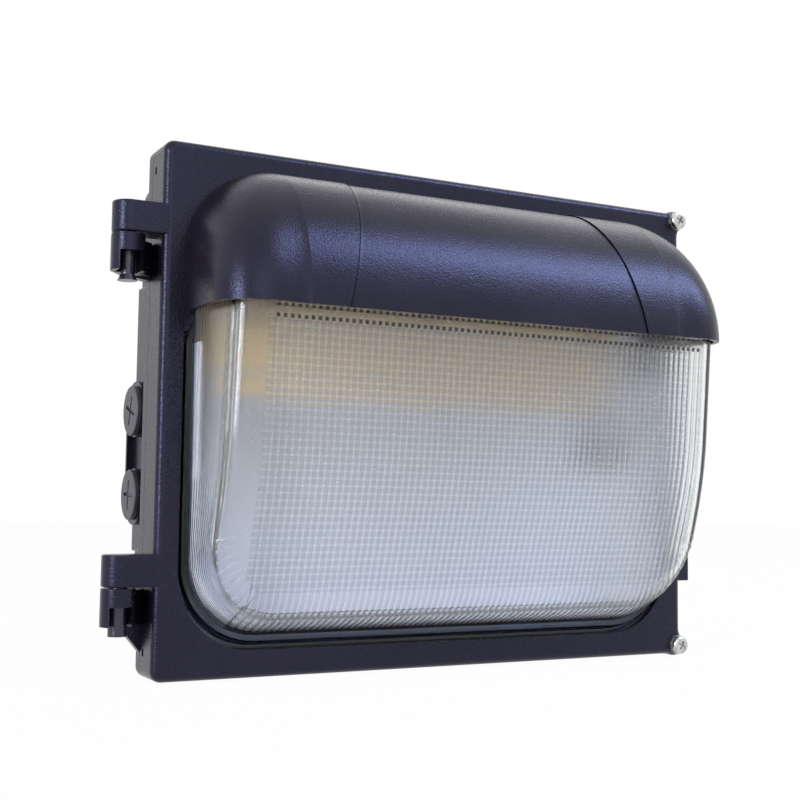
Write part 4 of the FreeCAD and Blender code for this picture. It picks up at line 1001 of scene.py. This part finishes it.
    @staticmethod
    def _lowest_at(x: float, ring: list[Vector]) -> float:
        """The height of a ring's lower half at a distance from the middle.

        Args:
            x: The distance to the right of the middle.
            ring: The ring, symmetrical about the middle.

        Returns:
            The height.
        """
        side = [p for p in ring if p.z < 0.0 and p.x >= 0.0]
        for above, below in zip(side, side[1:]):
            if below.x <= abs(x) <= above.x:
                share = (above.x - abs(x)) / max(above.x - below.x, 1e-9)
                return above.z + (below.z - above.z) * share
        return side[-1].z

    def _rib_section(self, height: float) -> list[tuple[float, float]]:
        """A single rib's section: how far across and how far out each point lies.

        Args:
            height: The rib's height.

        Returns:
            The points.
        """
        side = self.rib_pitch / 2.0
        return [(-side, -self.rib_sink), (-side, 0.0), (-side / 2.0, height * 0.72), (0.0, height),
                (side / 2.0, height * 0.72), (side, 0.0), (side, -self.rib_sink)]

    def _row_section(self, start: float, count: int, height: float) -> list[tuple[float, float]]:
        """The section through a whole row of ribs side by side, with a plain back.

        Args:
            start: Where the row starts.
            count: How many ribs it has.
            height: Their height.

        Returns:
            How far across and how far out each point lies, out along the ribs and back behind them.
        """
        profile = (0.0, 0.72 * height, height, 0.72 * height)
        last = 4 * count
        front = [(start + k * self.rib_pitch / 4.0, profile[k % 4] + self.rib_sink * 0.2)
                 for k in range(last + 1)]
        for k in (0, last):
            front[k] = (front[k][0], -self.rib_sink * 0.5)
        return front + [(across, -self.rib_sink) for across, _ in reversed(front)]

    @staticmethod
    def _add_row(name: str, rings: list[list[Vector]], count: int,
                 material: bpy.types.Material) -> bpy.types.Object:
        """Build a row of ribs as one closed sheet with divided ends.

        Args:
            name: The piece's name.
            rings: Its rings.
            count: How many ribs it has.
            material: Its finish.

        Returns:
            The sheet.
        """
        shell = RingShell(rings[0])
        shell.cap()
        ends = [list(shell.ring)]
        for ring in rings[1:]:
            shell.grow(ring)
        shell.cap()
        ends.append(list(shell.ring))
        for end in ends:
            for k in range(1, 4 * count):
                bmesh.ops.connect_verts(shell.mesh, verts=[end[k], end[-1 - k]])
        return make_piece(name, shell.mesh, material, DOOR, 60.0)

    def build_upright_ribs(self) -> bpy.types.Object:
        """Build the upright ribs outside the face; they run down over its rounded lower edge.

        Returns:
            The ribs.
        """
        count = int((self.rib_right - self.rib_left) / self.rib_pitch)
        section = self._row_section(self.rib_left, count, self.rib_height)
        rings = []
        for i, ring in enumerate(self._rounded(0.0, self.edge_round)[:-1]):
            angle = math.radians(15.0 * i)
            if 15.0 * i < self.rib_end:
                continue
            back = self.edge_round * (1.0 - math.sin(angle))
            feet = [self._lowest_at(x, ring) for x, _ in section]
            rings.append([Vector((x, self.face_depth(z) + back - out * math.sin(angle),
                                  z - out * math.cos(angle)))
                          for z, (x, out) in zip(feet, section)])
        edge = self.outline(-self.edge_round, self.face_depth)
        lows = [self._lowest_at(x, edge) for x, _ in section]
        rows = 20
        for k in range(rows + 1):
            heights = [low + (self.rib_top - low) * k / rows for low in lows]
            rings.append([Vector((x, self.face_depth(z) - out, z)) for z, (x, out) in zip(heights, section)])
        return self._add_row("refractor_upright_ribs", rings, count, self.upright)

    @staticmethod
    def _add_rib(shell: Optional[RingShell], rings: list[list[Vector]]) -> RingShell:
        """Add one closed rib to the ribs' shell.

        Args:
            shell: The shell so far, if there is one.
            rings: The rib's rings.

        Returns:
            The shell.
        """
        if shell is None:
            shell = RingShell(rings[0])
        else:
            shell.start(rings[0])
        shell.cap()
        for ring in rings[1:]:
            shell.grow(ring)
        shell.cap()
        return shell

    def build_level_ribs(self) -> bpy.types.Object:
        """Build the level ribs on the inside of the face.

        Returns:
            The ribs.
        """
        edge = self.outline(-self.edge_round, self.face_depth)
        low = self._lowest_at(0.0, edge) + 0.002
        count = int((self.rib_top - low) / self.rib_pitch)
        section = self._row_section(self.rib_top - count * self.rib_pitch, count, self.level_height)
        rings = []
        for side, rise in ((-1.0, 0.0), (-0.985, 1.0), (0.985, 1.0), (1.0, 0.0)):
            rings.append([Vector((min(self._side_of_face(edge, z), self.level_side) * side,
                                  self.face_depth(z) + self.wall + (out * rise if out > 0.0 else out), z))
                          for z, out in section])
        return self._add_row("refractor_level_ribs", rings, count, self.level)

    @staticmethod
    def _side_of_face(edge: list[Vector], z: float) -> float:
        """How wide the face's flat part is at a height.

        Args:
            edge: The flat part's outline.
            z: The height.

        Returns:
            Half its width.
        """
        right = [p for p in edge if p.x > 0.0]
        for above, below in zip(right, right[1:]):
            if below.z <= z <= above.z:
                share = (above.z - z) / max(above.z - below.z, 1e-9)
                return above.x + (below.x - above.x) * share - 0.0008
        return 0.1

    def build_floor_ribs(self) -> bpy.types.Object:
        """Build the ribs that run back along the inside of the bottom wall, in line with the upright ones.

        Returns:
            The ribs.
        """
        count = int((self.rib_right - self.rib_left) / self.rib_pitch)
        section = self._row_section(self.rib_left, count, self.floor_height)
        front = self.face_depth(self.bottom + self.bottom_rise) + self.edge_round
        end = self.back - 0.001
        depths = [front + (end - front) * k / 5.0 for k in range(6)]
        walls = [self.outline(-self.wall, lambda z, y=y: y) for y in depths]
        rings = [[Vector((x, y, self._lowest_at(x, wall) + out)) for x, out in section]
                 for y, wall in zip(depths, walls)]
        return self._add_row("refractor_floor_ribs", rings, count, self.material)

    def build_brow(self) -> bpy.types.Object:
        """Build the small stepped bead across the face just above the upright ribs.

        Returns:
            The bead.
        """
        middle, half = (self.brow_low + self.brow_high) / 2.0, (self.brow_high - self.brow_low) / 2.0
        section = [(-half, -self.rib_sink), (-half, self.brow_height * 0.6), (-half * 0.6, self.brow_height),
                   (half * 0.6, self.brow_height), (half, self.brow_height * 0.6), (half, -self.rib_sink)]
        rings = []
        step = self.rib_pitch / 2.0
        for k in range(int((self.rib_right - self.rib_left) / step) + 1):
            rise = 1.0 if k % 2 else 0.7
            rings.append([Vector((self.rib_left + k * step, self.face_depth(middle + across) - out * rise,
                                  middle + across)) for across, out in section])
        shell = self._add_rib(None, rings)
        return make_piece("refractor_brow", shell.mesh, self.brow, DOOR, 40.0)

    def build_skirt(self) -> bpy.types.Object:
        """Build the white sheet skirt inside the bowl's mouth, hemmed at both edges and open at the top.

        Returns:
            The skirt.
        """
        front, rear = self.back - self.skirt_tuck, self.back + self.skirt_reach
        middle = self.skirt_sheet / 2.0
        hem = self.skirt_hem
        section = [(-middle, front + hem), (-hem / 2, front + hem), (-hem / 2, front), (hem / 2, front),
                   (hem / 2, front + hem), (middle, front + hem), (middle, rear - hem), (hem / 2, rear - hem),
                   (hem / 2, rear), (-hem / 2, rear), (-hem / 2, rear - hem), (-middle, rear - hem)]
        inset = -self.wall - self.skirt_gap
        paths = {y: self.outline(inset, lambda z, y=y: min(y, self.back)) for _, y in section}
        outer = self.outline(inset + 0.001, lambda z: self.back)
        rings = []
        for i, (at, beyond) in enumerate(zip(paths[rear], outer)):
            if at.z < self.skirt_top:
                out = (beyond - at).normalized()
                rings.append([Vector((paths[y][i].x, y, paths[y][i].z)) + out * across
                              for across, y in section])
        shell = self._add_rib(None, rings)
        return make_piece("refractor_skirt", shell.mesh, self.skirt, DOOR, 40.0)

    def _dash(self, share: float) -> list[list[Vector]]:
        """The rings of one short rib across the rounded edge of the right lower corner.

        Args:
            share: How far round the corner it is.

        Returns:
            The rings.
        """
        steps = [(math.radians(a), 0.0) for a in (30.0, 45.0, 60.0, 75.0)]
        steps.append((math.pi / 2.0, self.dash_reach))

        def at(turned: float, angle: float, extra: float) -> Vector:
            """A point on the rounded edge."""
            inset = self.edge_round * (1.0 - math.cos(angle)) + extra
            back = self.edge_round * (1.0 - math.sin(angle))
            return self._point("low", turned, -inset, lambda z: self.face_depth(z) + back)

        rings = []
        for angle, extra in steps:
            centre = at(share, angle, extra)
            along = (at(share + 0.02, angle, extra) - at(share - 0.02, angle, extra)).normalized()
            inwards = at(share, angle, extra + 0.001) - centre
            out = along.cross(inwards).normalized()
            if out.y > 0.0:
                out.negate()
            rings.append([centre + along * across * self.dash_width / self.rib_pitch + out * rise
                          for across, rise in self._rib_section(self.dash_height)])
        return rings

    def build_corner_dashes(self) -> bpy.types.Object:
        """Build the short ribs round both lower corners of the face.

        Returns:
            The dashes.
        """
        shell: Optional[RingShell] = None
        for i in range(self.dash_count):
            rings = self._dash((i + 0.5) / self.dash_count)
            shell = self._add_rib(shell, rings)
            shell = self._add_rib(shell, [[Vector((-p.x, p.y, p.z)) for p in ring] for ring in rings])
        return make_piece("refractor_corner_dashes", shell.mesh, self.material, DOOR, 60.0)

    def build(self) -> None:
        """Build every piece of the glass."""
        self.build_bowl()
        self.build_upright_ribs()
        self.build_level_ribs()
        self.build_floor_ribs()
        self.build_brow()
        self.build_skirt()
        self.build_corner_dashes()


# ---------------------------------------------------------------- studio

@dataclass
class Studio:
    """A pale floor, soft lamps and a white surround."""

    floor_size: float = 6.0
    floor_colour: Colour = (0.86, 0.86, 0.87)
    floor_white: float = 0.97
    surround: float = 0.41

    def build_floor(self) -> None:
        """Lay the floor just under the light."""
        mesh = bmesh.new()
        bmesh.ops.create_grid(mesh, x_segments=4, y_segments=4, size=self.floor_size / 2)
        bmesh.ops.translate(mesh, verts=mesh.verts[:], vec=(0.0, 0.0, cad_box[0].z - 0.0002))
        data = bpy.data.meshes.new("floor")
        mesh.to_mesh(data)
        mesh.free()
        floor = bpy.data.objects.new("floor", data)
        data.materials.append(self._floor_finish())
        bpy.context.scene.collection.objects.link(floor)

    def _floor_finish(self) -> bpy.types.Material:
        """A matt pale floor that the camera sees almost white."""
        s = Surface("floor_paper")
        tooth = s.noise(0.004, 2.0, 0.5)
        matt = s.principled(Base_Color=s.blend(tooth, self.floor_colour, (0.90, 0.90, 0.91)), Roughness=0.9,
                            Normal=s.bump(tooth, 0.0001, 0.2))
        white = s.node("ShaderNodeEmission", inputs={"Color": (1.0, 1.0, 1.0, 1.0), "Strength": 1.0})
        seen = self._seen_white(s)
        return s.output(s.node("ShaderNodeMixShader", inputs={0: seen * self.floor_white, 1: matt, 2: white}))

    @staticmethod
    def _seen_white(s: Surface) -> Value:
        """1 for rays from the camera, from gloss and through glass, 0 for the light that falls on things."""
        rays = [s.node("ShaderNodeLightPath", output=f"Is {kind} Ray")
                for kind in ("Camera", "Glossy", "Transmission")]
        return rays[0].math("MAXIMUM", rays[1]).math("MAXIMUM", rays[2])

    def build_surround(self) -> None:
        """Fill the world with soft white light; the camera, gloss and glass see it white."""
        world = bpy.data.worlds.new("surround")
        bpy.context.scene.world = world
        world.use_nodes = True
        tree = world.node_tree
        tree.nodes.clear()
        path = tree.nodes.new("ShaderNodeLightPath")
        soft = tree.nodes.new("ShaderNodeBackground")
        soft.inputs["Color"].default_value = (0.94, 0.96, 1.0, 1.0)
        soft.inputs["Strength"].default_value = self.surround
        white = tree.nodes.new("ShaderNodeBackground")
        white.inputs["Color"].default_value = (1.0, 1.0, 1.0, 1.0)
        white.inputs["Strength"].default_value = 1.0
        mix = tree.nodes.new("ShaderNodeMixShader")
        out = tree.nodes.new("ShaderNodeOutputWorld")
        seen = path.outputs["Is Camera Ray"]
        for kind in ("Is Glossy Ray", "Is Transmission Ray"):
            either = tree.nodes.new("ShaderNodeMath")
            either.operation = "MAXIMUM"
            tree.links.new(seen, either.inputs[0])
            tree.links.new(path.outputs[kind], either.inputs[1])
            seen = either.outputs[0]
        tree.links.new(seen, mix.inputs[0])
        tree.links.new(soft.outputs[0], mix.inputs[1])
        tree.links.new(white.outputs[0], mix.inputs[2])
        tree.links.new(mix.outputs[0], out.inputs["Surface"])

    @staticmethod
    def add_lamp(name: str, place: Vector, aim: Vector, size: tuple[float, float], power: float,
                 colour: Colour) -> None:
        """Hang one soft lamp.

        Args:
            name: The lamp's name.
            place: Where it hangs.
            aim: What it points at.
            size: Its width and height.
            power: Its power in watts.
            colour: Its colour.
        """
        data = bpy.data.lights.new(name, "AREA")
        data.shape = "RECTANGLE"
        data.size, data.size_y = size
        data.energy = power
        data.color = colour
        lamp = bpy.data.objects.new(name, data)
        lamp.location = place
        lamp.rotation_mode = "QUATERNION"
        lamp.rotation_quaternion = (aim - place).to_track_quat("-Z", "Y")
        bpy.context.scene.collection.objects.link(lamp)

    def build(self) -> None:
        """Build the floor, the surround and the lamps."""
        self.build_floor()
        self.build_surround()
        centre = Vector((0.0, -0.06, 0.0))
        self.add_lamp("key_lamp", Vector((1.20, -0.90, 1.16)), Vector((1.20, -0.12, 0.08)), (1.50, 0.34),
                      22.0, (0.56, 0.67, 1.0))
        self.add_lamp("top_lamp", Vector((0.75, 0.72, 1.05)), centre, (1.20, 0.40), 1.9, (1.0, 0.99, 0.98))
        self.add_lamp("side_lamp", Vector((-1.08, -0.60, 0.20)), centre, (0.24, 0.60), 8.0,
                      (0.88, 0.88, 1.0))
        self.add_lamp("front_lamp", Vector((-0.20, -1.30, 0.45)), centre, (0.9, 0.7), 2.0, (1.0, 1.0, 1.0))
        log.info("studio built")


@dataclass(frozen=True)
class Viewpoint:
    """The photograph's camera."""

    place: Colour = (-0.3121, -0.6113, -0.0385)
    yaw: float = 27.94
    pitch: float = 4.41
    roll: float = 0.74
    lens: float = 57.0

    def build(self) -> None:
        """Place the camera and make it the scene's own."""
        yaw, pitch, roll = (math.radians(a) for a in (self.yaw, self.pitch, self.roll))
        ahead = Vector((math.sin(yaw) * math.cos(pitch), math.cos(yaw) * math.cos(pitch), math.sin(pitch)))
        level = Vector((math.cos(yaw), -math.sin(yaw), 0.0))
        upward = level.cross(ahead)
        right = level * math.cos(roll) + upward * math.sin(roll)
        up = upward * math.cos(roll) - level * math.sin(roll)
        data = bpy.data.cameras.new("viewpoint")
        data.lens = self.lens
        data.sensor_width = 36.0
        data.dof.use_dof = False
        camera = bpy.data.objects.new("viewpoint", data)
        turn = Matrix((right, up, -ahead)).transposed()
        camera.matrix_world = Matrix.Translation(Vector(self.place)) @ turn.to_4x4()
        bpy.context.scene.collection.objects.link(camera)
        bpy.context.scene.camera = camera
        log.info("camera placed")


# ---------------------------------------------------------------- run


def main() -> None:
    """Build the camera, the studio, the finishes and every piece."""
    logging.basicConfig(level=logging.INFO, format="%(name)s: %(message)s")
    bpy.context.scene.view_settings.view_transform = "Standard"
    Viewpoint().build()
    Studio().build()
    wardrobe = Wardrobe()
    wardrobe.dress_nodes()
    glass = (Palette.GLASS, Palette.GLASS_INSIDE, Palette.UPRIGHT_RIBS, Palette.LEVEL_RIBS, Palette.BROW,
             Palette.SKIRT)
    Refractor(*(wardrobe.materials[finish] for finish in glass)).build()


if __name__ == "__main__":
    main()
